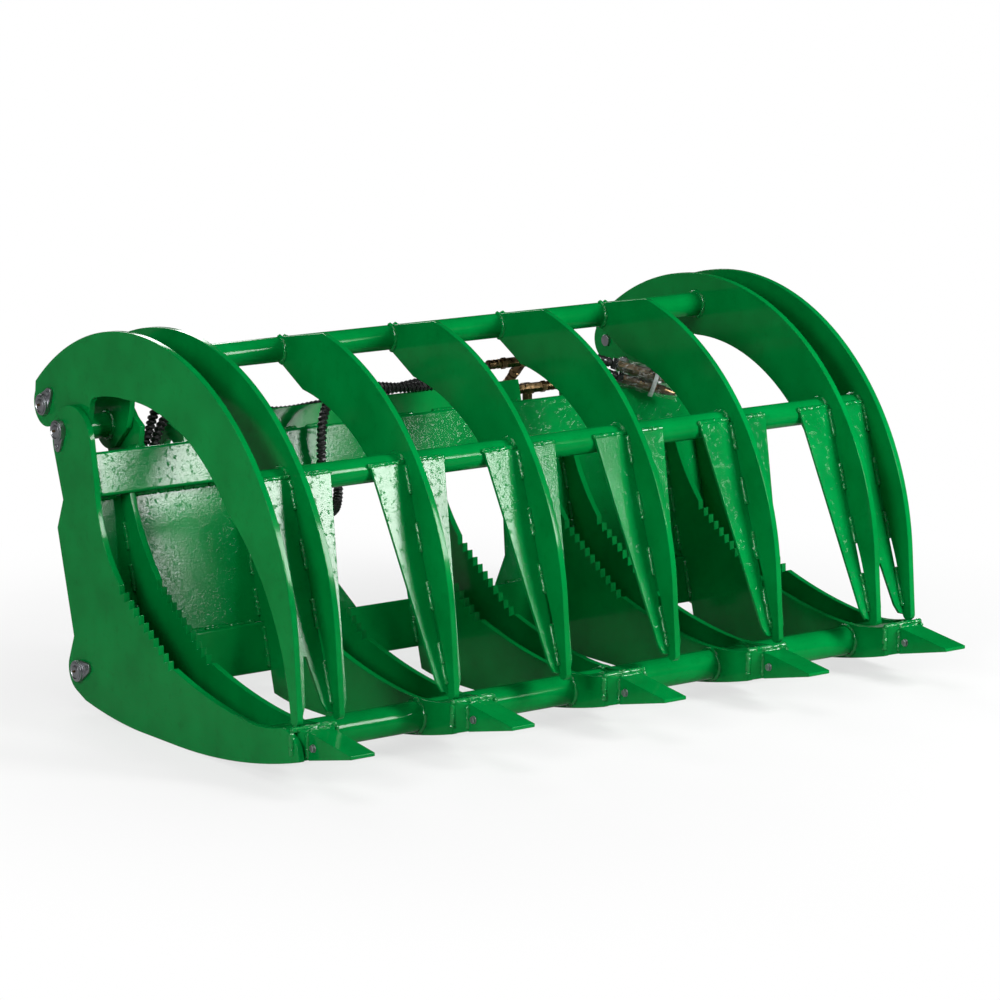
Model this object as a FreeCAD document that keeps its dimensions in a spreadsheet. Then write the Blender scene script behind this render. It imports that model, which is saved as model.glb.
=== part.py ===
import FreeCAD, Part
import Sketcher
import math
import os

os.makedirs("parts", exist_ok=True)
doc = FreeCAD.newDocument("root_grapple")

# Driving sizes in millimetres and degrees. X runs across the grapple, -Y to the
# tine tips, +Z up; the origin is on the ground under the middle of the grapple.
SIZES = {
    "half_width": 786.0,
    "plate": 12.7,
    "thin_plate": 6.35,
    "jaw_side_gap": 1.95,
    "weld_gap": 0.05,
    "running_fit": 0.15,
    "tine_half_gap": 43.5,
    "arm_pair_spacing": 93.5,
    "arm_outer_spacing": 265.5,
    "arm_inner_spacing": 269.5,
    "jaw_centre_y": 178.0,
    "jaw_centre_z": 221.0,
    "jaw_outer_radius": 569.0,
    "jaw_inner_radius": 435.0,
    "jaw_tip_inset": 4.0,
    "jaw_tip_z": 130.0,
    "jaw_tip_radius": 13.0,
    "pivot_y": 432.0,
    "pivot_z": 564.0,
    "rod_pin_inset": 57.5,
    "rod_pin_angle": 48.487,
    "base_pin_y": 372.0,
    "base_pin_z": 81.0,
    "pivot_lobe": 50.0,
    "rod_lobe": 46.0,
    "base_lobe": 48.0,
    "pivot_pin": 30.0,
    "cylinder_pin": 25.4,
    "pin_head": 43.0,
    "pin_head_thick": 12.0,
    "pivot_tube_outer": 50.8,
    "cross_tube": 50.8,
    "cross_tube_wall": 6.35,
    "lower_tube": 60.3,
    "upper_tube_angle": 87.15,
    "front_tube_angle": 139.98,
    "front_tube_offset": 3.4,
    "lower_tube_y": -281.0,
    "lower_tube_z": 64.0,
    "lean": 15.0,
    "beam_base_y": 237.0,
    "beam_base_z": 55.0,
    "lower_beam_height": 101.6,
    "beam_depth": 50.8,
    "beam_wall": 6.35,
    "beam_spacing": 396.0,
    "top_beam_height": 88.9,
    "top_beam_step": 34.0,
    "panel_set_back": 10.0,
    "panel_inner_foot": 180.0,
    "panel_inner_top": 250.0,
    "beam_corner": 6.0,
    "rail_height": 48.0,
    "rail_start": 135.0,
    "rail_end": 322.0,
    "guard_start": 31.0,
    "guard_corner": 12.0,
    "teeth": 11.0,
    "tooth_drop": 19.0,
    "tine_front_y": -400.0,
    "nose_front_y": -421.0,
    "nose_top_z": 114.0,
    "nose_bottom_z": 57.0,
    "wear_tip_width": 54.0,
    "wear_tip_wall": 6.0,
    "wear_tip_front_y": -563.0,
    "tongue_slack": 0.3,
    "wear_tip_edge": 7.0,
    "wear_tip_edge_z": 88.0,
    "cylinder_inset": 37.0,
    "barrel_outer": 57.0,
    "barrel_length": 380.0,
    "rod": 25.4,
    "rod_clearance": 0.3,
    "rod_hidden": 40.0,
    "stroke": 76.0,
    "rod_eye_outer": 58.0,
    "rod_eye_bore": 38.0,
    "eye_width": 38.0,
    "hook_x": 520.0,
    "hook_plate": 19.0,
    "hook_reach": 128.0,
    "hook_slot": 50.0,
    "loader_pin": 26.0,
    "gusset_top": 80.0,
    "gusset_foot": 22.0,
    "gusset_lap": 1.0,
    "side_head": 75.0,
    "hump_back": 130.0,
    "hump_low": 131.0,
    "hump_high": 352.0,
    "neck_back": 90.0,
    "neck_up": 405.0,
    "hose": 14.0,
    "port_block": 26.0,
    "port_reach": 14.0,
    "coupler": 26.0,
    "fitting_flats": 22.0,
}

sheet = doc.addObject("Spreadsheet::Sheet", "sizes")
for row, (alias, value) in enumerate(SIZES.items(), start=1):
    sheet.set("B%d" % row, str(value))
    sheet.set("A%d" % row, alias.replace("_", " "))
    sheet.setAlias("B%d" % row, alias)
doc.recompute()


def size(alias):
    return float(sheet.get(alias))


LEAN = math.radians(size("lean"))
PLATE = size("plate")
HALF = size("half_width")
PIVOT = (size("pivot_y"), size("pivot_z"))
BASE_PIN = (size("base_pin_y"), size("base_pin_z"))
JAW_CENTRE = (size("jaw_centre_y"), size("jaw_centre_z"))
LOWER_TUBE = (size("lower_tube_y"), size("lower_tube_z"))
HEAD = (PIVOT[0] - 41.0, PIVOT[1] - 19.0)
JAW_TIP = (JAW_CENTRE[0] - size("jaw_outer_radius") + size("jaw_tip_inset"), size("jaw_tip_z"))
X_AXIS = FreeCAD.Vector(1, 0, 0)
bodies = []


def leaning(back, up):
    """A point of the leaning rear frame, from the lower beam's front lower corner."""
    y = size("beam_base_y") + back * math.cos(LEAN) + up * math.sin(LEAN)
    z = size("beam_base_z") - back * math.sin(LEAN) + up * math.cos(LEAN)
    return (y, z)


def polar(centre, radius, degrees):
    angle = math.radians(degrees)
    return (centre[0] + radius * math.cos(angle), centre[1] + radius * math.sin(angle))


# The cross tubes lie on the arms' middle line, and the rod pin under their outer edge.
MIDDLE_RADIUS = (size("jaw_outer_radius") + size("jaw_inner_radius")) / 2
UPPER_TUBE = polar(JAW_CENTRE, MIDDLE_RADIUS, size("upper_tube_angle"))
FRONT_TUBE = polar(JAW_CENTRE, MIDDLE_RADIUS + size("front_tube_offset"),
                   size("front_tube_angle"))
ROD_PIN = polar(JAW_CENTRE, size("jaw_outer_radius") - size("rod_pin_inset"),
                size("rod_pin_angle"))

# Places across the grapple, from the side plates inward.
TINE_PITCH = "((<<sizes>>.half_width - <<sizes>>.plate / 2 - <<sizes>>.tine_half_gap) / 2)"
ARM_OUTER = "(<<sizes>>.half_width - <<sizes>>.plate * 1.5 - <<sizes>>.jaw_side_gap)"
ARM_PAIR = "(" + ARM_OUTER + " - <<sizes>>.arm_pair_spacing)"
ARM_THIRD = "(" + ARM_PAIR + " - <<sizes>>.arm_outer_spacing)"
ARM_FOURTH = "(" + ARM_THIRD + " - <<sizes>>.arm_inner_spacing)"
tine_pitch = (HALF - PLATE / 2 - size("tine_half_gap")) / 2
arm_outer = HALF - PLATE * 1.5 - size("jaw_side_gap")
arm_pair = arm_outer - size("arm_pair_spacing")
arm_third = arm_pair - size("arm_outer_spacing")
arm_fourth = arm_third - size("arm_inner_spacing")


def tangent_from(point, centre, radius, turn):
    """Where a line from point touches a circle that lies to its left (turn 1)."""
    away = math.hypot(centre[0] - point[0], centre[1] - point[1])
    heading = math.atan2(centre[1] - point[1], centre[0] - point[0])
    heading = heading - turn * math.asin(radius / away)
    reach = math.sqrt(away * away - radius * radius)
    return (point[0] + reach * math.cos(heading), point[1] + reach * math.sin(heading))


def arc_middle(centre, radius, start, end, turn=1):
    first = math.atan2(start[1] - centre[1], start[0] - centre[0])
    last = math.atan2(end[1] - centre[1], end[0] - centre[0])
    sweep = (last - first) * turn % (2 * math.pi)
    middle = first + turn * sweep / 2
    return (centre[0] + radius * math.cos(middle), centre[1] + radius * math.sin(middle))


def lobe(before, centre, radius, after):
    """Points of a round lobe met by tangent lines: entry, then an arc item."""
    entry = tangent_from(before, centre, radius, 1)
    leave = tangent_from(after, centre, radius, -1)
    return [entry, (arc_middle(centre, radius, entry, leave), leave)]


def edges_of(outline, x=None):
    """Edges of a closed outline, in sketch axes or standing at a given x."""
    def vector(point):
        if x is None:
            return FreeCAD.Vector(point[0], point[1], 0)
        return FreeCAD.Vector(x, point[0], point[1])

    edges = []
    last = outline[-1]
    here = vector(last[1] if isinstance(last[0], tuple) else last)
    for item in outline:
        if isinstance(item[0], tuple):
            end = vector(item[1])
            edges.append(Part.Arc(here, vector(item[0]), end))
        else:
            end = vector(item)
            if (end - here).Length > 0.001:
                edges.append(Part.LineSegment(here, end))
        here = end
    return edges


def new_body(label):
    body = doc.addObject("PartDesign::Body", label)
    body.Label = label
    return body


def plane_of(body, role):
    for feature in body.Origin.OriginFeatures:
        if feature.Role == role:
            return feature


def sketch_on(body, role, name, edges):
    sketch = body.newObject("Sketcher::SketchObject", name)
    sketch.AttachmentSupport = [(plane_of(body, role), "")]
    sketch.MapMode = "FlatFace"
    sketch.addGeometry(edges, False)
    return sketch


def hole_circles(body, name, holes):
    """A sketch of round holes; each hole is its centre and its diameter expression."""
    sketch = body.newObject("Sketcher::SketchObject", name)
    sketch.AttachmentSupport = [(plane_of(body, "YZ_Plane"), "")]
    sketch.MapMode = "FlatFace"
    for index, (centre, diameter) in enumerate(holes):
        place = FreeCAD.Vector(centre[0], centre[1], 0)
        sketch.addGeometry(Part.Circle(place, FreeCAD.Vector(0, 0, 1), 5.0), False)
        number = sketch.addConstraint(Sketcher.Constraint("Diameter", index, 10.0))
        sketch.setExpression("Constraints[%d]" % number, diameter)
    return sketch


def plate(label, outline, thick, x_middle, holes=()):
    """A flat plate across X: outline in (y, z), thickness and place from the sheet."""
    body = new_body(label)
    profile = sketch_on(body, "YZ_Plane", label + "_profile", edges_of(outline))
    pad = body.newObject("PartDesign::Pad", label + "_pad")
    pad.Profile = profile
    pad.Midplane = True
    pad.setExpression("Length", thick)
    if holes:
        circles = hole_circles(body, label + "_circles", holes)
        pocket = body.newObject("PartDesign::Pocket", label + "_bores")
        pocket.Profile = circles
        pocket.Midplane = True
        pocket.Type = 0
        pocket.setExpression("Length", thick + " * 4")
    body.setExpression("Placement.Base.x", x_middle)
    bodies.append(body)
    return body


def tube(label, place, outer, wall, half_length):
    """A round tube along X, centred, with its bore."""
    rod_outer = doc.addObject("Part::Cylinder", label + "_outer")
    rod_outer.setExpression("Radius", outer + " / 2")
    rod_outer.setExpression("Height", "2 * (" + half_length + ")")
    rod_inner = doc.addObject("Part::Cylinder", label + "_inner")
    rod_inner.setExpression("Radius", outer + " / 2 - " + wall)
    rod_inner.setExpression("Height", "2 * (" + half_length + ")")
    cut = doc.addObject("Part::Cut", label)
    cut.Label = label
    cut.Base = rod_outer
    cut.Tool = rod_inner
    cut.Placement = FreeCAD.Placement(
        FreeCAD.Vector(0, place[0], place[1]),
        FreeCAD.Rotation(FreeCAD.Vector(0, 1, 0), 90))
    cut.setExpression("Placement.Base.x", "-(" + half_length + ")")
    bodies.append(cut)
    return cut


def solid(label, shape):
    feature = doc.addObject("Part::Feature", label)
    feature.Label = label
    feature.Shape = shape
    bodies.append(feature)
    return feature


def along_x(centre, radius, x_from, x_to):
    start = FreeCAD.Vector(min(x_from, x_to), centre[0], centre[1])
    return Part.makeCylinder(radius, abs(x_to - x_from), start, X_AXIS)


def prism(outline, x_from, x_to):
    """A closed (y, z) outline pushed along X, for small welded-on pieces."""
    edges = [edge.toShape() for edge in edges_of(outline, x_from)]
    face = Part.Face(Part.Wire(edges))
    return face.extrude(FreeCAD.Vector(x_to - x_from, 0, 0))


# Ground curve: the belly that every tine plate and side plate shares.
BELLY_FRONT = (0.0, 0.0)
BELLY_REAR = (150.0, 0.0)
KEEL_FRONT = (-425.0, 58.0)
KEEL_MIDDLE = (-228.0, 17.0)
TOOTH_TOP = (214.0, 284.0)
TOOTH_END = (16.0, 152.0)
NECK = (-224.0, 103.0)


def keel_height(y):
    """Height of the keel arc at a given y."""
    points = [FreeCAD.Vector(*place, 0) for place in (KEEL_FRONT, KEEL_MIDDLE, BELLY_FRONT)]
    circle = Part.Arc(*points).toShape().Curve
    return circle.Center.y - math.sqrt(circle.Radius ** 2 - (y - circle.Center.x) ** 2)


def saw_teeth():
    """The serrated grip edge, from its top corner down to its end."""
    count = int(size("teeth"))
    step_y = (TOOTH_END[0] - TOOTH_TOP[0]) / count
    step_z = (TOOTH_END[1] - TOOTH_TOP[1]) / count
    points = []
    for index in range(count):
        y = TOOTH_TOP[0] + step_y * index
        z = TOOTH_TOP[1] + step_z * index
        points.append((y, z))
        points.append((y - 1.0, z - size("tooth_drop")))
    points.append(TOOTH_END)
    return points


def side_outline():
    rear_low = leaning(size("hump_back"), size("hump_low"))
    rear_high = leaning(size("hump_back"), size("hump_high"))
    neck_rear = leaning(size("neck_back"), size("neck_up"))
    brow = (PIVOT[0] - 127.0, PIVOT[1] - 79.5)
    chest = (PIVOT[0] - 134.0, PIVOT[1] - 129.0)
    heel = (355.0, 22.0)
    outline = [KEEL_FRONT, (KEEL_MIDDLE, BELLY_FRONT), BELLY_REAR, ((256.0, 7.0), heel)]
    outline += lobe(heel, BASE_PIN, size("base_lobe"), rear_low)
    outline += [rear_low, rear_high, neck_rear]
    outline += lobe(neck_rear, HEAD, size("side_head"), brow)
    outline += [brow, chest]
    outline += [((264.0, 345.0), TOOTH_TOP)]
    outline += saw_teeth()[1:]
    outline += [((-110.0, 120.0), NECK), ((-300.0, 101.0), (-365.0, 113.0))]
    outline += [((-410.0, 95.0), KEEL_FRONT)]
    return outline[1:]


def tine_outline():
    front = size("tine_front_y")
    back = size("panel_set_back")
    heel = leaning(0.0, -47.0)
    gap = size("weld_gap")
    mid_y = (front + BELLY_FRONT[0]) / 2
    outline = [((mid_y, keel_height(mid_y)), BELLY_FRONT), BELLY_REAR, ((190.0, 4.0), heel)]
    beam_top = size("lower_beam_height") + gap
    beam_under = size("beam_spacing") - gap
    outline += [leaning(-gap, beam_top), leaning(back - gap, beam_top)]
    outline += [leaning(back - gap, beam_under), leaning(-27.0, beam_under)]
    outline += [((264.0, 345.0), TOOTH_TOP)]
    outline += saw_teeth()[1:]
    outline += [((-110.0, 120.0), NECK), ((-310.0, 101.0), (front, size("nose_top_z")))]
    outline += [(front, keel_height(front))]
    return outline


def bore(alias, fit="running_fit"):
    return "<<sizes>>.%s + <<sizes>>.%s" % (alias, fit)


LOWER_HOLE = (LOWER_TUBE, "<<sizes>>.lower_tube + 2 * <<sizes>>.weld_gap")

# Frame: side plates and inner tine plates.
side_holes = [(PIVOT, bore("pivot_pin")), (BASE_PIN, bore("cylinder_pin"))]
for side, sign in (("left", "-"), ("right", "")):
    place = sign + "(<<sizes>>.half_width - <<sizes>>.plate / 2)"
    plate("side_plate_" + side, side_outline(), "<<sizes>>.plate", place, side_holes)

tine_places = [(1, "right", -2, 1), (2, "left", -1, -1), (2, "right", -1, 1),
               (3, "left", 0, -1), (3, "right", 0, 1), (4, "left", 1, -1),
               (4, "right", 1, 1), (5, "left", 2, -1)]
for number, hand, steps, side in tine_places:
    place = "%d * %s + %d * <<sizes>>.tine_half_gap" % (steps, TINE_PITCH, side)
    plate("tine_plate_%d_%s" % (number, hand), tine_outline(), "<<sizes>>.plate", place,
          [LOWER_HOLE])

# The lower tube runs through every tine plate and butts on the side plates.
tube("lower_tube", LOWER_TUBE, "<<sizes>>.lower_tube", "<<sizes>>.cross_tube_wall",
     "<<sizes>>.half_width - <<sizes>>.plate - <<sizes>>.weld_gap")


def rounded_bar(box, label, radius):
    """The box with its four long edges rounded, as rolled square tube has."""
    box.recompute()
    long_edges = []
    for number, edge in enumerate(box.Shape.Edges, start=1):
        if abs(edge.tangentAt(0).x) > 0.99:
            long_edges.append((number, radius, radius))
    rounded = doc.addObject("Part::Fillet", label + "_rounded")
    rounded.Base = box
    rounded.Edges = long_edges
    return rounded


def leaning_box(label, back, up, deep, high, half_length, wall=None):
    """A bar or box section along X in the leaning rear frame."""
    corner = leaning(back, up)
    outer = doc.addObject("Part::Box", label + "_outer")
    outer.setExpression("Length", "2 * (" + half_length + ")")
    outer.setExpression("Width", deep)
    outer.setExpression("Height", high)
    result = outer
    if wall is not None:
        outer = rounded_bar(outer, label, size("beam_corner"))
        inner = doc.addObject("Part::Box", label + "_inner")
        inner.setExpression("Length", "2 * (" + half_length + ")")
        inner.setExpression("Width", deep + " - 2 * " + wall)
        inner.setExpression("Height", high + " - 2 * " + wall)
        inner.setExpression("Placement.Base.y", wall)
        inner.setExpression("Placement.Base.z", wall)
        result = doc.addObject("Part::Cut", label)
        result.Base = outer
        result.Tool = inner
    result.Label = label
    result.Placement = FreeCAD.Placement(
        FreeCAD.Vector(0, corner[0], corner[1]), FreeCAD.Rotation(X_AXIS, -size("lean")))
    result.setExpression("Placement.Base.x", "-(" + half_length + ")")
    bodies.append(result)
    return result


BETWEEN_SIDES = "<<sizes>>.half_width - <<sizes>>.plate - <<sizes>>.weld_gap"
leaning_box("lower_beam", 0.0, 0.0, "<<sizes>>.beam_depth", "<<sizes>>.lower_beam_height",
            BETWEEN_SIDES, "<<sizes>>.beam_wall")
leaning_box("top_beam", -size("top_beam_step"), size("beam_spacing"), "<<sizes>>.beam_depth",
            "<<sizes>>.top_beam_height", BETWEEN_SIDES, "<<sizes>>.beam_wall")


def leaning_plate(label, outline, back):
    """A thin plate in the leaning frame's own plane: its outline is in (x, up)."""
    def vector(point):
        y, z = leaning(back, point[1])
        return FreeCAD.Vector(point[0], y, z)

    edges = []
    last = outline[-1]
    here = vector(last[1] if isinstance(last[0], tuple) else last)
    for item in outline:
        if isinstance(item[0], tuple):
            end = vector(item[1])
            edges.append(Part.Arc(here, vector(item[0]), end).toShape())
        else:
            end = vector(item)
            edges.append(Part.LineSegment(here, end).toShape())
        here = end
    thick = size("thin_plate")
    push = FreeCAD.Vector(0, thick * math.cos(LEAN), -thick * math.sin(LEAN))
    solid(label, Part.Face(Part.Wire(edges)).extrude(push))


# The rail on the top beam, and the guard plate beyond its gap where the hoses drop in front.
RAIL_LOW = size("beam_spacing") + size("top_beam_height") + size("weld_gap")
RAIL_HIGH = RAIL_LOW + size("rail_height")
RAIL_BACK = size("beam_depth") - size("top_beam_step") - size("thin_plate")
leaning_plate("hose_rail", [
    (-size("rail_end"), RAIL_LOW), (-size("rail_start"), RAIL_LOW),
    (-size("rail_start"), RAIL_HIGH), (-size("rail_end"), RAIL_HIGH)], RAIL_BACK)
guard_left = -size("guard_start")
corner = size("guard_corner")
bite = corner * (1 - math.sqrt(0.5))
leaning_plate("hose_guard_plate", [
    (guard_left, RAIL_LOW), (size("rail_end"), RAIL_LOW), (size("rail_end"), RAIL_HIGH),
    (guard_left + corner, RAIL_HIGH),
    ((guard_left + bite, RAIL_HIGH - bite), (guard_left, RAIL_HIGH - corner))], RAIL_BACK)


def panel(label, sign):
    """Rear panel: four corners in (x, up), leaning with the frame."""
    outside = HALF - PLATE - size("weld_gap")
    low = size("lower_beam_height") + size("weld_gap")
    high = size("beam_spacing") - size("weld_gap")
    knee = low + 60.0
    foot = size("panel_inner_foot")
    top = size("panel_inner_top")
    bend = foot + (top - foot) * 0.55
    corners = [(outside, low), (outside, high), (top, high), (bend, knee), (foot, low)]
    leaning_plate(label, [(sign * x, up) for x, up in corners], size("panel_set_back"))


panel("back_panel_left", -1)
panel("back_panel_right", 1)


# Noses and wear tips: one of each per tine.
def wear_tip_side(inset):
    """Side view of the wear tip, or drawn in by an inset for its hollow and tongue."""
    rear = size("nose_front_y")
    front = size("wear_tip_front_y")
    low = size("wear_tip_edge_z")
    top_slope = (size("nose_top_z") - low - size("wear_tip_edge")) / (size("nose_front_y") - front)
    low_slope = (size("nose_bottom_z") - low) / (size("nose_front_y") - front)
    reach = front + inset * 5.0

    def top_at(y):
        return low + size("wear_tip_edge") + top_slope * (y - front) - inset

    def low_at(y):
        return low + low_slope * (y - front) + inset

    return [(reach, low_at(reach)), (rear, low_at(rear)), (rear, top_at(rear)),
            (reach, top_at(reach))]


def nose_shape(x_middle, flank_left, flank_right):
    """Block between the plates, drawn in to the tongue that carries the wear tip.

    A flank covers the front end of a tine plate; a side plate has none.
    """
    half_gap = size("tine_half_gap") - PLATE / 2 - size("weld_gap")
    half_tip = size("wear_tip_width") / 2
    front = size("tine_front_y")
    rear = size("lower_tube_y") - size("lower_tube") / 2 - 12.0
    low_rear = keel_height(rear) + 1.0
    low_front = keel_height(front) + 1.0
    block = prism([(front, low_front), (rear, low_rear), (rear, 100.0),
                   (front, size("nose_top_z") - 1.0)], x_middle - half_gap, x_middle + half_gap)
    seam = size("nose_front_y")

    def section(y, left, right, low, high):
        corners = [(-left, low), (right, low), (right, high), (-left, high)]
        points = [FreeCAD.Vector(x_middle + x, y, z) for x, z in corners]
        return Part.makePolygon(points + points[:1])

    face = front - size("weld_gap")
    collar = Part.makeLoft([
        section(face, half_gap + flank_left, half_gap + flank_right, low_front,
                size("nose_top_z") - 0.5),
        section(seam + 0.2, half_tip - 2.0, half_tip - 2.0, size("nose_bottom_z") + 1.0,
                size("nose_top_z") - 2.0),
    ], True, True)
    slack = size("tongue_slack")
    inner = wear_tip_side(size("wear_tip_wall") + slack)
    half_tongue = half_tip - size("wear_tip_wall") - slack
    tongue = prism([inner[0], inner[1], (seam + 1.0, inner[1][1]), (seam + 1.0, inner[2][1]),
                    inner[2], inner[3]], x_middle - half_tongue, x_middle + half_tongue)
    bridge = prism([(face, low_front), (front + 1.0, low_front),
                    (front + 1.0, size("nose_top_z") - 1.0), (face, size("nose_top_z") - 1.0)],
                   x_middle - half_gap, x_middle + half_gap)
    return block.fuse(bridge).fuse(collar).fuse(tongue).removeSplitter()


def wear_tip_shape(x_middle):
    half = size("wear_tip_width") / 2
    wall = size("wear_tip_wall")
    outer = prism(wear_tip_side(0.0), x_middle - half, x_middle + half)
    inner = prism(wear_tip_side(wall), x_middle - half + wall, x_middle + half - wall)
    return outer.cut(inner)


noses = []
for steps in range(-2, 3):
    middle = steps * tine_pitch
    flank_left = 0.0 if steps == -2 else PLATE
    flank_right = 0.0 if steps == 2 else PLATE
    noses.append(nose_shape(middle, flank_left, flank_right))
    solid("wear_tip_%d" % (steps + 3), wear_tip_shape(middle))
solid("tine_noses", Part.makeCompound(noses))

# Pivot ears on the top beam, and cylinder lugs behind the lower beam.
EAR_X = arm_pair - PLATE - size("jaw_side_gap")


def ear_outline():
    gap = size("weld_gap")
    top = size("beam_spacing") + size("top_beam_height") + gap
    rear_face = size("beam_depth") - size("top_beam_step") + gap
    foot = leaning(rear_face, size("beam_spacing") + 10.0)
    round_foot = leaning(rear_face + 40.0, size("beam_spacing") + 40.0)
    radius = size("side_head")
    entry = tangent_from(round_foot, HEAD, radius, 1)
    leave = polar(HEAD, radius, 98.0)
    return [foot, round_foot, entry, (arc_middle(HEAD, radius, entry, leave), leave),
            (PIVOT[0] - 80.0, PIVOT[1] + 25.0), (PIVOT[0] - 104.0, PIVOT[1] + 10.0),
            leaning(-size("top_beam_step") + size("beam_corner"), top), leaning(rear_face, top)]


def lug_outline():
    gap = size("weld_gap")
    back = size("beam_depth") + gap
    low = leaning(back, 4.0)
    high = leaning(back, size("lower_beam_height") - 2.0)
    outline = [low]
    outline += lobe(low, BASE_PIN, size("base_lobe") - 8.0, high)
    outline += [high]
    return outline


def plate_shape(outline, x_middle, thick, holes):
    shape = prism(outline, x_middle - thick / 2, x_middle + thick / 2)
    for centre, diameter in holes:
        shape = shape.cut(along_x(centre, diameter / 2, x_middle - thick, x_middle + thick))
    return shape


pivot_bore = size("pivot_pin") + size("running_fit")
cylinder_bore = size("cylinder_pin") + size("running_fit")
lug_x = 2 * tine_pitch - size("tine_half_gap")
ears = [plate_shape(ear_outline(), s * EAR_X, PLATE, [(PIVOT, pivot_bore)]) for s in (-1, 1)]
lugs = [plate_shape(lug_outline(), s * lug_x, PLATE, [(BASE_PIN, cylinder_bore)]) for s in (-1, 1)]
solid("pivot_ears", Part.makeCompound(ears))
solid("cylinder_lugs", Part.makeCompound(lugs))


# Loader hook plates behind the beams: a hook above and a pin bore below.
def hook_outline():
    gap = size("weld_gap")
    low_face = size("beam_depth") + gap
    top_face = size("beam_depth") - size("top_beam_step") + gap
    reach = size("hook_reach")
    slot = size("hook_slot")
    slot_low = size("beam_spacing") + 20.0
    slot_front = reach - slot - 22.0
    centre = leaning((slot_front + slot_front + slot) / 2, slot_low + 60.0)
    slot_middle = leaning(slot_front + slot / 2, slot_low + 60.0 + slot / 2)
    hook_top = slot_low + 60.0 + slot / 2 + 39.0
    crown = leaning(slot_front + slot / 2, hook_top)
    return [
        leaning(low_face, 2.0), leaning(low_face + 12.0, -22.0), leaning(reach, -22.0),
        leaning(reach, 70.0), leaning(reach - 45.0, 110.0), leaning(reach - 45.0, slot_low - 30.0),
        leaning(slot_front, slot_low - 10.0),
        leaning(slot_front, slot_low + 60.0),
        (slot_middle, leaning(slot_front + slot, slot_low + 60.0)),
        leaning(slot_front + slot, slot_low + 20.0), leaning(reach, slot_low + 20.0),
        leaning(reach, slot_low + 70.0),
        (leaning(slot_front + slot + 8.0, hook_top - 13.0), crown),
        leaning(top_face, hook_top - 40.0),
        leaning(top_face, size("beam_spacing") - 20.0),
        leaning(low_face, size("lower_beam_height") + 40.0),
    ]


LOADER_BORE = leaning(size("hook_reach") - 32.0, 18.0)
for side, sign in (("left", "-"), ("right", "")):
    plate("loader_hook_" + side, hook_outline(), "<<sizes>>.hook_plate",
          sign + "<<sizes>>.hook_x", [(LOADER_BORE, "<<sizes>>.loader_pin")])


# Jaw arms: full crescents at the ends, cut short on the upper tube between.
def arm_front(outline_start, inner_end):
    """Lower half of the crescent: outer edge down, tip round, inner edge up."""
    outer = size("jaw_outer_radius")
    inner = size("jaw_inner_radius")
    radius = size("jaw_tip_radius")
    away = math.hypot(JAW_TIP[0] - JAW_CENTRE[0], JAW_TIP[1] - JAW_CENTRE[1])
    toward = math.degrees(math.atan2(JAW_TIP[1] - JAW_CENTRE[1], JAW_TIP[0] - JAW_CENTRE[0]))
    square = toward % 360.0 - math.degrees(math.acos((outer - radius) / away))
    return [
        (polar(JAW_CENTRE, outer, (outline_start + square) / 2), polar(JAW_CENTRE, outer, square)),
        polar(JAW_TIP, radius, square),
        ((JAW_TIP[0], JAW_TIP[1] - radius), (JAW_TIP[0] + radius, JAW_TIP[1] + 2.0)),
        (polar(JAW_CENTRE, MIDDLE_RADIUS - 13.8, 163.5), polar(JAW_CENTRE, inner, 142.0)),
        (polar(JAW_CENTRE, inner, (inner_end + 142.0) / 2), polar(JAW_CENTRE, inner, inner_end)),
    ]


def end_arm_outline():
    rod_radius = size("rod_lobe")
    heading = math.degrees(math.atan2(ROD_PIN[1] - JAW_CENTRE[1], ROD_PIN[0] - JAW_CENTRE[0]))
    shoulder = (PIVOT[0] - 77.0, PIVOT[1] + 5.0)
    outer_start = polar(JAW_CENTRE, size("jaw_outer_radius"), heading)
    outline = arm_front(heading, 87.2)
    outline += [((PIVOT[0] - 168.0, PIVOT[1] + 89.5), (PIVOT[0] - 105.4, PIVOT[1] + 78.5)),
                ((PIVOT[0] - 94.0, PIVOT[1] + 68.0), (PIVOT[0] - 90.0, PIVOT[1] + 52.0)), shoulder]
    rod_entry = polar(ROD_PIN, rod_radius, -128.0)
    rod_leave = polar(ROD_PIN, rod_radius, heading - 20.0)
    outline += lobe(shoulder, PIVOT, size("pivot_lobe") - 1.0, rod_entry)
    outline += [rod_entry, (arc_middle(ROD_PIN, rod_radius, rod_entry, rod_leave), rod_leave)]
    return outline + [outer_start]


def short_arm_outline():
    hold = size("cross_tube") / 2 + size("weld_gap")
    top = polar(UPPER_TUBE, hold, 96.0)
    low = polar(UPPER_TUBE, hold, 262.0)
    start = 103.5
    outline = [polar(JAW_CENTRE, size("jaw_outer_radius"), start)]
    outline += arm_front(start, 98.0)
    outline += [low, (polar(UPPER_TUBE, hold, 179.0), top)]
    return outline


FRONT_HOLE = (FRONT_TUBE, "<<sizes>>.cross_tube + 2 * <<sizes>>.weld_gap")
arm_holes = [(PIVOT, bore("pivot_tube_outer", "weld_gap")), (ROD_PIN, bore("cylinder_pin"))]
ARMS = [(ARM_OUTER, -1), (ARM_PAIR, -1), (ARM_THIRD, -1), (ARM_FOURTH, -1),
        (ARM_FOURTH, 1), (ARM_THIRD, 1), (ARM_PAIR, 1), (ARM_OUTER, 1)]
for number, (across, side) in enumerate(ARMS, start=1):
    place = "%d * %s" % (side, across)
    end_arm = across in (ARM_OUTER, ARM_PAIR)
    outline = end_arm_outline() if end_arm else short_arm_outline()
    holes = [] if across == ARM_OUTER else [FRONT_HOLE]
    holes += arm_holes if end_arm else []
    plate("jaw_arm_%d" % number, outline, "<<sizes>>.plate", place, holes)

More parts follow.
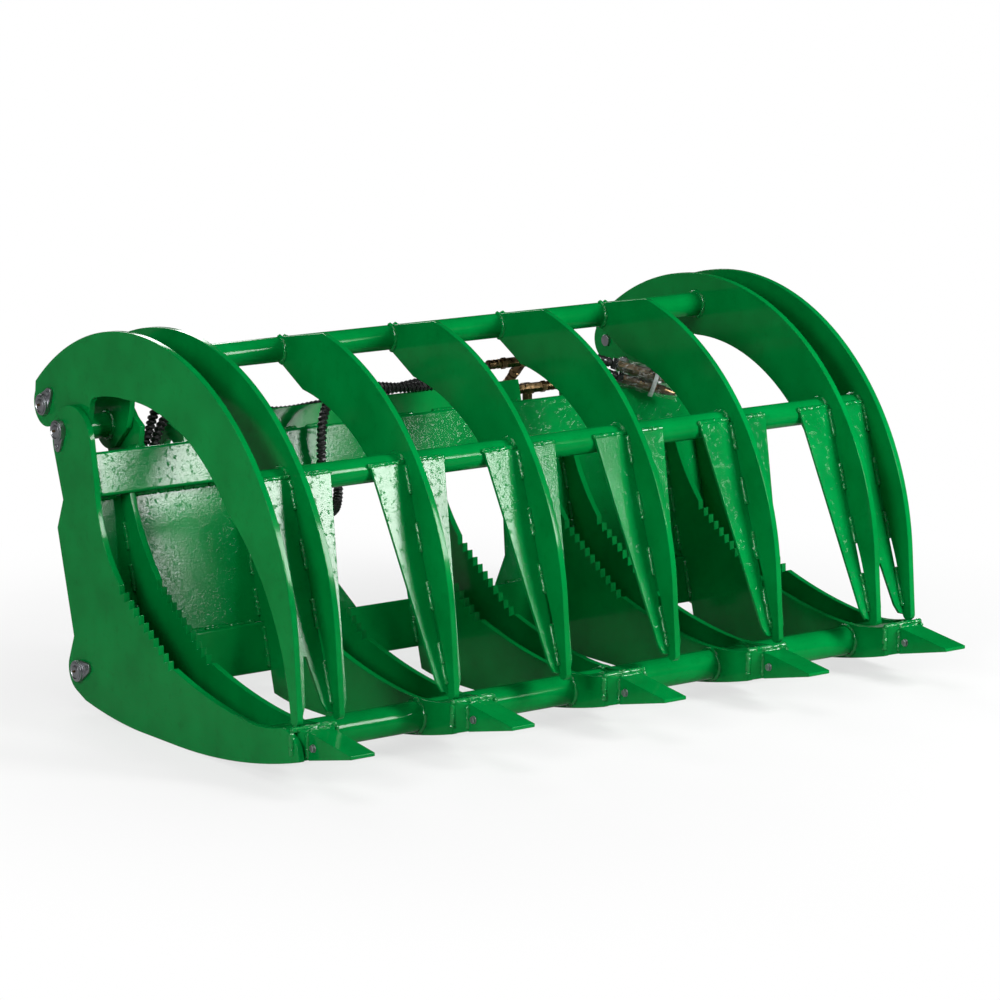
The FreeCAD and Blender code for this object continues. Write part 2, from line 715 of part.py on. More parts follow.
tube("upper_cross_tube", UPPER_TUBE, "<<sizes>>.cross_tube", "<<sizes>>.cross_tube_wall",
     ARM_PAIR + " - <<sizes>>.plate / 2 - <<sizes>>.weld_gap")
tube("front_cross_tube", FRONT_TUBE, "<<sizes>>.cross_tube", "<<sizes>>.cross_tube_wall",
     ARM_OUTER + " - <<sizes>>.plate / 2 - <<sizes>>.weld_gap")


# Flat gussets lie against the front of the front tube and run down to the arm tips.
GUSSET_FOOT = (JAW_TIP[0] + 6.5, JAW_TIP[1] - 1.0)
GUSSET_BACK = size("cross_tube") / 2 + size("weld_gap")


def gusset_frame():
    """Unit direction down the gusset, its forward normal and its length, in (y, z)."""
    gap_y = GUSSET_FOOT[0] - FRONT_TUBE[0]
    gap_z = GUSSET_FOOT[1] - FRONT_TUBE[1]
    length = math.hypot(gap_y, gap_z)
    lift = math.asin((GUSSET_BACK + size("thin_plate")) / length)
    heading = math.atan2(gap_z, gap_y) + lift
    down = (math.cos(heading), math.sin(heading))
    return down, (-abs(down[1]), abs(down[0])), length * math.cos(lift)


def gusset_plate(corners):
    """Corners are (x, distance down from where the plate touches the tube)."""
    down, forward, _ = gusset_frame()
    thick = size("thin_plate")
    points = []
    for x, run in corners:
        y = FRONT_TUBE[0] + forward[0] * GUSSET_BACK + down[0] * run
        z = FRONT_TUBE[1] + forward[1] * GUSSET_BACK + down[1] * run
        points.append(FreeCAD.Vector(x, y, z))
    face = Part.Face(Part.makePolygon(points + points[:1]))
    return face.extrude(FreeCAD.Vector(0, forward[0] * thick, forward[1] * thick))


def gusset_run():
    return -size("gusset_lap"), gusset_frame()[2]


def side_gusset(arm_x, side):
    start, reach = gusset_run()
    face = arm_x + side * (PLATE / 2 + size("weld_gap"))
    wide = face + side * size("gusset_top")
    narrow = face + side * size("gusset_foot")
    return gusset_plate([(face, start), (wide, start), (narrow, reach - 22.0),
                         (narrow - side * 8.0, reach - 4.0), (face, reach)])


def pair_gusset(side):
    """One plate between the paired end arms, with an upside-down V at its foot."""
    start, reach = gusset_run()
    outer = arm_outer - PLATE / 2 - size("weld_gap")
    inner = arm_pair + PLATE / 2 + size("weld_gap")
    foot = size("gusset_foot")
    middle = (outer + inner) / 2
    apex = reach - 112.0
    corners = [(outer, start), (inner, start), (inner, reach), (inner + foot * 0.6, reach - 4.0),
               (inner + foot, reach - 22.0), (middle - 3.0, apex), (middle + 3.0, apex),
               (outer - foot, reach - 22.0), (outer - foot * 0.6, reach - 4.0), (outer, reach)]
    return gusset_plate([(side * x, run) for x, run in corners])


gussets = []
for across in (arm_third, arm_fourth):
    for side in (-1, 1):
        gussets.append(side_gusset(side * across, -1))
        gussets.append(side_gusset(side * across, 1))
for side in (-1, 1):
    gussets.append(side_gusset(side * arm_pair, -side))
solid("jaw_gussets", Part.makeCompound(gussets))
solid("jaw_end_gussets", Part.makeCompound([pair_gusset(-1), pair_gusset(1)]))

# Pivot tubes: welded through the paired arms, they turn on the pivot pins.
pivot_tubes = []
for side in (-1, 1):
    start = side * (arm_pair - PLATE / 2)
    end = side * (arm_outer + PLATE / 2)
    sleeve = along_x(PIVOT, size("pivot_tube_outer") / 2, start, end)
    pivot_tubes.append(sleeve.cut(along_x(PIVOT, pivot_bore / 2, start, end)))
solid("pivot_tubes", Part.makeCompound(pivot_tubes))


# Pins: a round head on a teardrop keeper plate outside, a plain end inside.
def flag(centre, toward, x_from, x_to):
    """Teardrop keeper plate from the pin head out to its bolt."""
    big = size("pin_head") / 2
    small = 11.0
    reach = 34.0
    end = polar(centre, reach, toward)
    lean = math.degrees(math.acos((big - small) / reach))
    outline = [
        polar(centre, big, toward + lean),
        (polar(centre, big, toward + 180.0), polar(centre, big, toward - lean)),
        polar(end, small, toward - lean),
        (polar(end, small, toward), polar(end, small, toward + lean)),
    ]
    return prism(outline, x_from, x_to)


def pin(centre, diameter, side, inner_x, outer_x, toward):
    """Pin from inner_x to outer_x (distances from the middle), head outside."""
    shank = along_x(centre, diameter / 2, side * (inner_x - 6.0), side * outer_x)
    keeper = flag(centre, toward, side * outer_x, side * (outer_x + 6.35))
    head = along_x(centre, size("pin_head") / 2, side * (outer_x + 6.35),
                   side * (outer_x + size("pin_head_thick")))
    return shank.fuse(keeper).fuse(head).removeSplitter()


SIDE_FACE = HALF + 0.05
ARM_FACE = arm_outer + PLATE / 2 + 0.05
for group, centre, alias, inner, outer, toward in [
        ("pivot_pins", PIVOT, "pivot_pin", EAR_X - PLATE / 2, SIDE_FACE, -80.0),
        ("base_pins", BASE_PIN, "cylinder_pin", lug_x - PLATE / 2, SIDE_FACE, 160.0),
        ("rod_pins", ROD_PIN, "cylinder_pin", arm_pair - PLATE / 2, ARM_FACE, 130.0)]:
    pair = [pin(centre, size(alias), side, inner, outer, toward) for side in (-1, 1)]
    solid(group, Part.makeCompound(pair))


# Cylinders: barrel with its base lug, neck and port blocks, and rod with its eye.
CYLINDER_X = arm_outer - size("cylinder_inset")
REACH = math.hypot(ROD_PIN[0] - BASE_PIN[0], ROD_PIN[1] - BASE_PIN[1])
ALONG = ((ROD_PIN[0] - BASE_PIN[0]) / REACH, (ROD_PIN[1] - BASE_PIN[1]) / REACH)
BARREL_START = 30.0
BARREL_END = BARREL_START + size("barrel_length")
PORTS = (BARREL_START + 34.0, BARREL_END - 26.0)
PORT_FACE = CYLINDER_X - size("barrel_outer") / 2 - size("port_reach")


def on_cylinder(distance):
    """A point of the cylinder's axis, in (y, z)."""
    return (BASE_PIN[0] + ALONG[0] * distance, BASE_PIN[1] + ALONG[1] * distance)


def cylinder_block(x_from, x_to, start, end, high):
    """A square block across the cylinder's axis, for a neck or a port."""
    half = high / 2
    corners = []
    for distance, offset in ((start, -half), (end, -half), (end, half), (start, half)):
        y, z = on_cylinder(distance)
        corners.append((y - ALONG[1] * offset, z + ALONG[0] * offset))
    return prism(corners, x_from, x_to)


def cylinder_parts(side):
    across = side * CYLINDER_X
    axis = FreeCAD.Vector(0, ALONG[0], ALONG[1])

    def drum(radius, start, end):
        y, z = on_cylinder(start)
        return Part.makeCylinder(radius, end - start, FreeCAD.Vector(across, y, z), axis)

    half_eye = size("eye_width") / 2
    neck = size("rod") * 0.6
    lug = along_x(BASE_PIN, 29.0, across - half_eye, across + half_eye)
    barrel = lug.fuse(cylinder_block(across - 15.0, across + 15.0, 10.0, BARREL_START + 5.0, 34.0))
    barrel = barrel.fuse(drum(size("barrel_outer") / 2, BARREL_START, BARREL_END))
    half_port = size("port_block") / 2
    for place in PORTS:
        barrel = barrel.fuse(cylinder_block(side * PORT_FACE, across, place - half_port,
                                            place + half_port, size("port_block") - 2.0))
    bore_start = BARREL_END - size("rod_hidden") - size("stroke") - 4.0
    barrel = barrel.cut(drum(size("rod") / 2 + size("rod_clearance"), bore_start, BARREL_END))
    barrel = barrel.cut(along_x(BASE_PIN, cylinder_bore / 2, across - 60.0, across + 60.0))
    shoulder = REACH - size("rod_eye_outer") / 2 - 8.0
    rod = drum(size("rod") / 2, BARREL_END - size("rod_hidden"), shoulder)
    eye = along_x(ROD_PIN, size("rod_eye_outer") / 2, across - half_eye, across + half_eye)
    eye = eye.fuse(cylinder_block(across - neck, across + neck, shoulder, REACH, 2 * neck))
    rod = rod.fuse(eye)
    rod = rod.cut(along_x(ROD_PIN, size("rod_eye_bore") / 2, across - 60.0, across + 60.0))
    return barrel.removeSplitter(), rod.removeSplitter()


for side, name in ((-1, "left"), (1, "right")):
    barrel, rod = cylinder_parts(side)
    solid("cylinder_barrel_" + name, barrel)
    solid("cylinder_rod_" + name, rod)


# Tees behind the guard plate and couplers over the top beam.
def faceted(start, heading, length, radius, sides=6, end_radius=None):
    """A nut, collar or tapered plug with flat sides, from start along a heading."""
    away = FreeCAD.Vector(*heading).normalize()
    side_step = away.cross(FreeCAD.Vector(0, 0, 1))
    if side_step.Length < 0.1:
        side_step = away.cross(FreeCAD.Vector(0, 1, 0))
    side_step.normalize()
    lift = away.cross(side_step)
    rings = []
    for run, reach in ((0.0, radius), (length, end_radius or radius)):
        points = []
        for turn in range(sides):
            angle = 2 * math.pi * turn / sides
            points.append(FreeCAD.Vector(*start) + away * run
                          + side_step * reach * math.cos(angle) + lift * reach * math.sin(angle))
        rings.append(points + points[:1])
    near, far = rings
    walls = [near, far]
    for turn in range(sides):
        walls.append([near[turn], near[turn + 1], far[turn + 1], far[turn], near[turn]])
    shell = Part.makeShell([Part.Face(Part.makePolygon(wall)) for wall in walls])
    body = Part.makeSolid(shell)
    if body.Volume < 0:
        body.reverse()
    return body


def tee(centre, ends):
    """Forged block with a nut toward each end point."""
    flats = size("fitting_flats")
    body = Part.makeBox(flats, flats, flats, FreeCAD.Vector(*[c - flats / 2 for c in centre]))
    for end in ends:
        heading = [e - c for e, c in zip(end, centre)]
        body = body.fuse(faceted(centre, heading, math.dist(end, centre), flats * 0.53))
    return body


BASE_PORT = on_cylinder(PORTS[0])
ROD_PORT = on_cylinder(PORTS[1])
TEE_HIGH = (345.0, 402.0, 602.0)
TEE_HIGH_ENDS = [(300.0, 402.0, 602.0), (390.0, 402.0, 602.0), (345.0, 424.0, 580.0)]
TEE_LOW = (360.0, 404.0, 541.0)
TEE_LOW_ENDS = [(325.0, 404.0, 541.0), (395.0, 404.0, 541.0), (360.0, 404.0, 515.0)]
COUPLER_HEADING = (0.775, -0.56, -0.29)
COUPLER_HIGH = (550.0, 330.0, 584.0)
COUPLER_LOW = (565.0, 330.0, 553.0)
solid("hose_tees", Part.makeCompound([tee(TEE_HIGH, TEE_HIGH_ENDS), tee(TEE_LOW, TEE_LOW_ENDS)]))


def coupler(start):
    """Quick coupler: hexagon body, sliding collar and a tapered dust plug."""
    radius = size("coupler") / 2
    stages = [(0.0, 34.0, 0.95, 0.95, 6), (34.0, 40.0, 1.0, 1.0, 12), (74.0, 20.0, 0.8, 0.8, 12),
              (94.0, 26.0, 0.75, 0.35, 12)]
    away = FreeCAD.Vector(*COUPLER_HEADING).normalize()
    body = None
    for begin, length, share, end_share, sides in stages:
        here = FreeCAD.Vector(*start) + away * begin
        stage = faceted(here, COUPLER_HEADING, length, radius * share, sides, radius * end_share)
        body = stage if body is None else body.fuse(stage)
    return body


solid("hose_couplers", Part.makeCompound([coupler(COUPLER_HIGH), coupler(COUPLER_LOW)]))


# Hoses: a route of corner points, straight runs joined by tangent arcs, with an
# eight-sided section of the round hose's own area.
HOSE_SIDES = 8
HOSE_REACH = size("hose") / 2 * math.sqrt(2 * math.pi / HOSE_SIDES
                                          / math.sin(2 * math.pi / HOSE_SIDES))


def hose(label, route):
    points = [FreeCAD.Vector(*place) for place in route]

    def ring(place, heading, up):
        across = heading.cross(up)
        corners = []
        for step in range(HOSE_SIDES):
            angle = 2 * math.pi * (step + 0.5) / HOSE_SIDES
            corners.append(place + across * HOSE_REACH * math.cos(angle)
                           + up * HOSE_REACH * math.sin(angle))
        return Part.makePolygon(corners + corners[:1])

    come = (points[1] - points[0]).normalize()
    up = come.cross(FreeCAD.Vector(0, 1, 0)).normalize()
    walls = [Part.Face(ring(points[0], come, up))]
    here = points[0]
    tightest = math.inf
    length = 0.0
    for before, corner, after in zip(points, points[1:], points[2:]):
        come = (corner - before).normalize()
        go = (after - corner).normalize()
        turn = come.getAngle(go)
        cut_back = 0.45 * min((corner - before).Length, (after - corner).Length)
        bend = cut_back / math.tan(turn / 2)
        tightest = min(tightest, bend)
        start = corner - come * cut_back
        axis = come.cross(go).normalize()
        centre = start + axis.cross(come) * bend
        walls.append(ring(here, come, up).extrude(start - here))
        walls.append(ring(start, come, up).revolve(centre, axis, math.degrees(turn)))
        length += (start - here).Length + bend * turn
        up = FreeCAD.Rotation(axis, math.degrees(turn)).multVec(up)
        here = corner + go * cut_back
    last = points[-1] - here
    length += last.Length
    heading = FreeCAD.Vector(last).normalize()
    walls.append(ring(here, heading, up).extrude(last))
    walls.append(Part.Face(ring(points[-1], heading, up)))
    sewn = Part.makeCompound([face for wall in walls for face in wall.Faces])
    sewn.sewShape(0.01)
    body = Part.makeSolid(sewn.Shells[0])
    if body.Volume < 0:
        body.reverse()
    share = body.Volume / (math.pi * (size("hose") / 2) ** 2 * length)
    print(label, "length", round(length), "tightest", round(tightest), "volume", round(share, 4))
    solid(label, body)


hose("hose_left_lower", [
    (-PORT_FACE, *BASE_PORT), (-590.0, *BASE_PORT), (-545.0, 393.0, 225.0),
    (-562.0, 410.0, 380.0), (-590.0, 418.0, 500.0), (-530.0, 428.0, 590.0),
    (-430.0, 424.0, 592.0), (-300.0, 415.0, 548.0), (-150.0, 410.0, 560.0),
    (-30.0, 406.0, 588.0), (130.0, 402.0, 602.0), TEE_HIGH_ENDS[0]])
hose("hose_left_upper", [
    (-PORT_FACE, *ROD_PORT), (-608.0, *ROD_PORT), (-560.0, 474.0, 508.0),
    (-540.0, 471.0, 587.0), (-465.0, 461.0, 621.0), (-375.0, 451.0, 592.0),
    (-290.0, 446.0, 540.0), (-205.0, 444.0, 535.0), (-140.0, 437.0, 478.0),
    (-118.0, 428.0, 395.0), (-150.0, 385.0, 342.0), (-212.0, 324.0, 342.0),
    (-250.0, 286.0, 402.0), (-262.0, 280.0, 490.0), (-240.0, 300.0, 575.0),
    (-165.0, 348.0, 612.0), (-60.0, 374.0, 608.0), (30.0, 378.0, 594.0),
    (110.0, 388.0, 590.0), (180.0, 404.0, 556.0), (250.0, 404.0, 541.0), TEE_LOW_ENDS[0]])
hose("hose_right_upper", [
    TEE_HIGH_ENDS[2], (345.0, 466.0, 538.0), (352.0, 484.0, 462.0), (390.0, 480.0, 400.0),
    (455.0, 472.0, 372.0), (530.0, 468.0, 392.0), (598.0, *ROD_PORT), (PORT_FACE, *ROD_PORT)])
hose("hose_right_lower", [
    TEE_LOW_ENDS[2], (360.0, 404.0, 440.0), (385.0, 424.0, 345.0), (455.0, 422.0, 245.0),
    (535.0, 402.0, 172.0), (610.0, *BASE_PORT), (PORT_FACE, *BASE_PORT)])
hose("hose_supply_upper", [
    TEE_HIGH_ENDS[1], (452.0, 402.0, 602.0), (503.5, 363.6, 601.4), COUPLER_HIGH])
hose("hose_supply_lower", [
    TEE_LOW_ENDS[1], (463.0, 404.0, 541.0), (512.3, 368.1, 572.7), COUPLER_LOW])

doc.recompute()

total_facets = 0
box = FreeCAD.BoundBox()
for body in bodies:
    states = [str(state) for state in body.State]
    if "Invalid" in states or "Error" in states:
        raise RuntimeError(body.Label + " failed")
    shape = body.Shape
    if shape.isNull() or not shape.isValid() or not shape.Solids:
        raise RuntimeError(body.Label + " has no valid solid")
    box.add(shape.BoundBox)
    total_facets += len(shape.tessellate(0.5)[1])
for item in doc.Objects:
    if "Invalid" in item.State or "Error" in item.State:
        raise RuntimeError(item.Name + " failed")
for body in bodies:
    body.Shape.exportStep("parts/%s.step" % body.Label)
print(len(bodies), "nodes,", total_facets, "facets")
print("box", [round(v, 2) for v in (box.XMin, box.XMax, box.YMin, box.YMax, box.ZMin, box.ZMax)])
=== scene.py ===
import bpy
import bmesh
import math
from mathutils import Matrix, Vector, noise


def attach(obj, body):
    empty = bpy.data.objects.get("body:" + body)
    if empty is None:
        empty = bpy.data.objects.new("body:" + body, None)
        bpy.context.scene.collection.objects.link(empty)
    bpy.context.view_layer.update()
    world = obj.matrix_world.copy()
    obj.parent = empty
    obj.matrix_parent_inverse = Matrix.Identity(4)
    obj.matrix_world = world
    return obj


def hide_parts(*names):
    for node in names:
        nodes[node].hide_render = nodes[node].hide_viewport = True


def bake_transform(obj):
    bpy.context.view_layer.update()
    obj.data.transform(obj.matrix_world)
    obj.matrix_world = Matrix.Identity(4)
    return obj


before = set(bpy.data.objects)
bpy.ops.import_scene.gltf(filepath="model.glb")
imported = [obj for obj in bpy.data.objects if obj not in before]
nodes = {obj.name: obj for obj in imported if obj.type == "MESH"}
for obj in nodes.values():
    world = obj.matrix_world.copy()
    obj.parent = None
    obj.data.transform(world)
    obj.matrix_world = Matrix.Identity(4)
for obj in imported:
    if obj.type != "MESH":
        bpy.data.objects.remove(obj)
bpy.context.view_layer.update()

# Places of the grapple in metres: X runs across, -Y to the tine tips, Z up.
FRONT_TUBE = (-0.20905, 0.5460)
UPPER_TUBE = (0.20297, 0.7224)
LOWER_TUBE = (-0.2810, 0.0640)
PIVOT = (0.4320, 0.5640)
BASE_PIN = (0.3720, 0.0810)
ROD_PIN = (0.5170, 0.6040)
TINE_MIDDLES = (-0.7361, -0.36805, 0.0, 0.36805, 0.7361)
TINE_FACES = (-0.6990, -0.6863, -0.4179, -0.4052, -0.3309, -0.3182, -0.0498, -0.0371,
              0.0371, 0.0498, 0.3182, 0.3309, 0.4052, 0.4179, 0.6863, 0.6990)
ARM_FACES = (-0.6779, -0.6651, -0.4123, -0.3997, -0.1428, -0.1302,
             0.1302, 0.1428, 0.3997, 0.4123, 0.6651, 0.6779)
LEAN = math.radians(15.0)
GUSSET_DOWN = Vector((0.0, -0.3142, -0.9494))
GUSSET_OUT = Vector((0.0, -0.9494, 0.3142))
GUSSET_TOP = (-0.23924, 0.55599)


def leaning(x, back, up):
    """A point of the leaning rear frame."""
    return Vector((x, 0.237 + back * math.cos(LEAN) + up * math.sin(LEAN),
                   0.055 - back * math.sin(LEAN) + up * math.cos(LEAN)))


LEAN_UP = Vector((0.0, math.sin(LEAN), math.cos(LEAN)))
LEAN_BACK = Vector((0.0, math.cos(LEAN), -math.sin(LEAN)))

# Camera at the photograph's angle
HEADING = math.radians(36.305)
DIP = math.radians(11.007)
look = Vector((math.sin(HEADING) * math.cos(DIP), math.cos(HEADING) * math.cos(DIP), -math.sin(DIP)))
camera_data = bpy.data.cameras.new("camera")
camera_data.sensor_width = 36.0
camera_data.lens = 144.57
camera_data.clip_end = 200.0
camera = bpy.data.objects.new("camera", camera_data)
camera.location = (-4.771, -6.480, 1.964)
camera.rotation_euler = look.to_track_quat("-Z", "Y").to_euler()
bpy.context.scene.collection.objects.link(camera)
bpy.context.scene.camera = camera
bpy.context.scene.view_settings.view_transform = "Standard"


# Finishes
def srgb(red, green, blue):
    def linear(value):
        value = value / 255.0
        return value / 12.92 if value <= 0.04045 else ((value + 0.055) / 1.055) ** 2.4
    return (linear(red), linear(green), linear(blue), 1.0)


class Finish:
    """A material's node tree with short helpers."""

    def __init__(self, name):
        self.material = bpy.data.materials.new(name)
        self.material.use_nodes = True
        self.nodes = self.material.node_tree.nodes
        self.links = self.material.node_tree.links
        self.shader = self.nodes["Principled BSDF"]
        coords = self.nodes.new("ShaderNodeTexCoord")
        self.place = coords.outputs["Object"]

    def link(self, source, target):
        self.links.new(source, target)

    def stretched(self, x, y, z):
        node = self.nodes.new("ShaderNodeMapping")
        node.inputs["Scale"].default_value = (x, y, z)
        self.link(self.place, node.inputs["Vector"])
        return node.outputs["Vector"]

    def noise(self, scale, detail=3.0, roughness=0.5, vector=None, distortion=0.0):
        node = self.nodes.new("ShaderNodeTexNoise")
        node.inputs["Scale"].default_value = scale
        node.inputs["Detail"].default_value = detail
        node.inputs["Roughness"].default_value = roughness
        node.inputs["Distortion"].default_value = distortion
        self.link(vector or self.place, node.inputs["Vector"])
        return node.outputs["Fac"]

    def ramp(self, value, stops):
        node = self.nodes.new("ShaderNodeValToRGB")
        ramp = node.color_ramp
        while len(ramp.elements) < len(stops):
            ramp.elements.new(0.5)
        for element, (place, colour) in zip(ramp.elements, stops):
            element.position = place
            element.color = colour
        self.link(value, node.inputs["Fac"])
        return node.outputs["Color"]

    def grey(self, value, low, high, start=0.3, end=0.7):
        return self.ramp(value, [(start, (low, low, low, 1)), (end, (high, high, high, 1))])

    def mix(self, factor, first, second):
        node = self.nodes.new("ShaderNodeMix")
        node.data_type = "RGBA"
        self.link(factor, node.inputs["Factor"])
        for socket, value in ((node.inputs["A"], first), (node.inputs["B"], second)):
            if isinstance(value, tuple):
                socket.default_value = value
            else:
                self.link(value, socket)
        return node.outputs["Result"]

    def bump(self, height, strength, distance):
        node = self.nodes.new("ShaderNodeBump")
        node.inputs["Strength"].default_value = strength
        node.inputs["Distance"].default_value = distance
        self.link(height, node.inputs["Height"])
        if self.shader.inputs["Normal"].links:
            self.link(self.shader.inputs["Normal"].links[0].from_socket, node.inputs["Normal"])
        self.link(node.outputs["Normal"], self.shader.inputs["Normal"])

    def set(self, **values):
        for name, value in values.items():
            self.shader.inputs[name.replace("_", " ")].default_value = value


def green_coat(name, peel, scale=0.0, gloss=0.10, low=0.10, high=0.14):
    """Glossy powder coat: orange peel, slow waves, uneven colour, mill scale under it."""
    coat = Finish(name)
    tint = coat.grey(coat.noise(9.0, 2.0), 0.0, 1.0, 0.35, 0.65)
    base = coat.mix(tint, srgb(0, 112, 47), srgb(0, 124, 54))
    thin = coat.grey(coat.noise(55.0, 4.0, 0.6), 0.0, 0.35, 0.55, 0.75)
    coat.link(coat.mix(thin, base, srgb(0, 96, 38)), coat.shader.inputs["Base Color"])
    coat.link(coat.grey(coat.noise(38.0, 3.0), low, high), coat.shader.inputs["Roughness"])
    coat.set(Specular_IOR_Level=gloss)
    coat.bump(coat.noise(230.0, 2.0, 0.45), peel, 0.0008)
    coat.bump(coat.noise(22.0, 2.0), 0.05, 0.004)
    if scale:
        flakes = coat.grey(coat.noise(95.0, 6.0, 0.62), 0.0, 1.0, 0.57, 0.70)
        coat.bump(flakes, scale * 2.0, 0.0010)
        coat.bump(coat.noise(240.0, 3.0, 0.6), scale * 1.4, 0.0011)
    return coat.material


def metal(name, colour, low, high, scale=60.0, bump=0.05):
    coat = Finish(name)
    darker = tuple(c * 0.72 for c in colour[:3]) + (1.0,)
    tone = coat.grey(coat.noise(scale, 3.0), 0.0, 1.0)
    coat.link(coat.mix(tone, darker, colour), coat.shader.inputs["Base Color"])
    coat.link(coat.grey(coat.noise(scale * 1.7, 3.0), low, high), coat.shader.inputs["Roughness"])
    coat.set(Metallic=1.0)
    coat.bump(coat.noise(scale * 6.0, 2.0), bump, 0.0004)
    return coat.material


def rubber(name, colour, rough=0.45):
    coat = Finish(name)
    light = tuple(min(1.0, c * 1.8 + 0.004) for c in colour[:3]) + (1.0,)
    coat.link(coat.mix(coat.grey(coat.noise(90.0), 0.0, 1.0), colour, light),
              coat.shader.inputs["Base Color"])
    coat.link(coat.grey(coat.noise(160.0), rough - 0.08, rough + 0.1),
              coat.shader.inputs["Roughness"])
    coat.bump(coat.noise(420.0), 0.15, 0.0004)
    return coat.material


def clear_wrap():
    """Thin hazy film, crumpled round the couplers."""
    coat = Finish("clear_film")
    folds = coat.noise(70.0, 5.0, 0.6, coat.stretched(0.5, 1.6, 1.6), 1.2)
    coat.link(coat.mix(coat.grey(folds, 0.0, 1.0), srgb(150, 152, 150), srgb(238, 240, 238)),
              coat.shader.inputs["Base Color"])
    coat.link(coat.grey(folds, 0.08, 0.3), coat.shader.inputs["Roughness"])
    coat.link(coat.grey(folds, 0.04, 0.42, 0.50, 0.68), coat.shader.inputs["Alpha"])
    coat.bump(folds, 0.5, 0.002)
    return coat.material


GREEN = green_coat("green_powder_coat", 0.1)
GREEN_SCALE = green_coat("green_coat_over_mill_scale", 0.05, 0.16, 0.19, 0.09, 0.13)
GREEN_WELD = green_coat("green_coat_on_welds", 0.4, 0.3, 0.5, 0.04, 0.10)
ZINC = metal("zinc_plate", srgb(176, 178, 182), 0.3, 0.5)
BRASS = metal("yellow_chromate", srgb(124, 101, 72), 0.22, 0.42)
CHROME = metal("hard_chrome", srgb(205, 207, 210), 0.06, 0.12, 30.0, 0.02)
BLACK_ENAMEL = rubber("black_enamel", srgb(20, 21, 22), 0.3)
HOSE_RUBBER = rubber("hose_rubber", srgb(17, 17, 18), 0.45)
GUARD_PLASTIC = rubber("spiral_guard", srgb(21, 21, 22), 0.3)
TIE_NYLON = rubber("white_tie", srgb(205, 207, 206), 0.4)
TAPE = rubber("grey_tape", srgb(176, 178, 180), 0.4)
FILM = clear_wrap()


# Hoses: the routes are the source's points in millimetres
ROUTES = {
    "hose_left_lower": [
        (-685.5, 389.1, 142.67), (-590, 389.1, 142.67), (-545, 393, 225), (-562, 410, 380),
        (-590, 418, 500), (-530, 428, 590), (-430, 424, 592), (-300, 415, 548), (-150, 410, 560),
        (-30, 406, 570), (130, 402, 588), (300, 402, 602)],
    "hose_left_upper": [
        (-685.5, 474.59, 451.04), (-608, 474.59, 451.04), (-560, 474, 508), (-540, 471, 587),
        (-465, 461, 621), (-375, 451, 592), (-290, 446, 540), (-205, 444, 535), (-140, 437, 478),
        (-118, 428, 395), (-150, 385, 342), (-212, 324, 342), (-250, 286, 402), (-262, 280, 490),
        (-240, 300, 575), (-165, 348, 604), (-60, 374, 590), (30, 378, 576), (110, 388, 576),
        (180, 404, 556), (250, 404, 541), (325, 404, 541)],
    "hose_right_upper": [
        (345, 424, 580), (345, 466, 538), (352, 484, 462), (390, 480, 400), (455, 472, 372),
        (530, 468, 392), (598, 474.59, 451.04), (685.5, 474.59, 451.04)],
    "hose_right_lower": [
        (360, 404, 515), (360, 404, 440), (385, 424, 345), (455, 422, 245), (535, 402, 172),
        (610, 389.1, 142.67), (685.5, 389.1, 142.67)],
    "hose_supply_upper": [(390, 402, 602), (452, 402, 602), (503.5, 363.6, 601.4), (550, 330, 584)],
    "hose_supply_lower": [(395, 404, 541), (463, 404, 541), (512.3, 368.1, 572.7), (565, 330, 553)],
}
HOSE_PORTS = {
    "hose_left_lower": ("barrel_left", -1), "hose_left_upper": ("barrel_left", -1),
    "hose_right_upper": ("barrel_right", 1), "hose_right_lower": ("barrel_right", 1)}


def new_piece(name, mesh, material):
    mesh.name = name
    piece = bpy.data.objects.new(name, mesh)
    bpy.context.scene.collection.objects.link(piece)
    mesh.materials.clear()
    mesh.materials.append(material)
    return piece


def smooth(piece, angle=35.0):
    bpy.ops.object.select_all(action="DESELECT")
    piece.select_set(True)
    bpy.context.view_layer.objects.active = piece
    bpy.ops.object.shade_smooth_by_angle(angle=math.radians(angle))
    return piece


def hose_line(name):
    """The hose's own smooth line, as a curve and as the points along it."""
    data = bpy.data.curves.new(name + "_line", "CURVE")
    data.dimensions = "3D"
    spline = data.splines.new("NURBS")
    spline.points.add(len(ROUTES[name]) - 1)
    for point, place in zip(spline.points, ROUTES[name]):
        point.co = (place[0] / 1000, place[1] / 1000, place[2] / 1000, 1.0)
    spline.order_u = 3
    spline.use_endpoint_u = True
    data.resolution_u = 16
    line = bpy.data.objects.new(name + "_line", data)
    mesh = bpy.data.meshes.new_from_object(line)
    points = [vertex.co.copy() for vertex in mesh.vertices]
    bpy.data.meshes.remove(mesh)
    return line, points


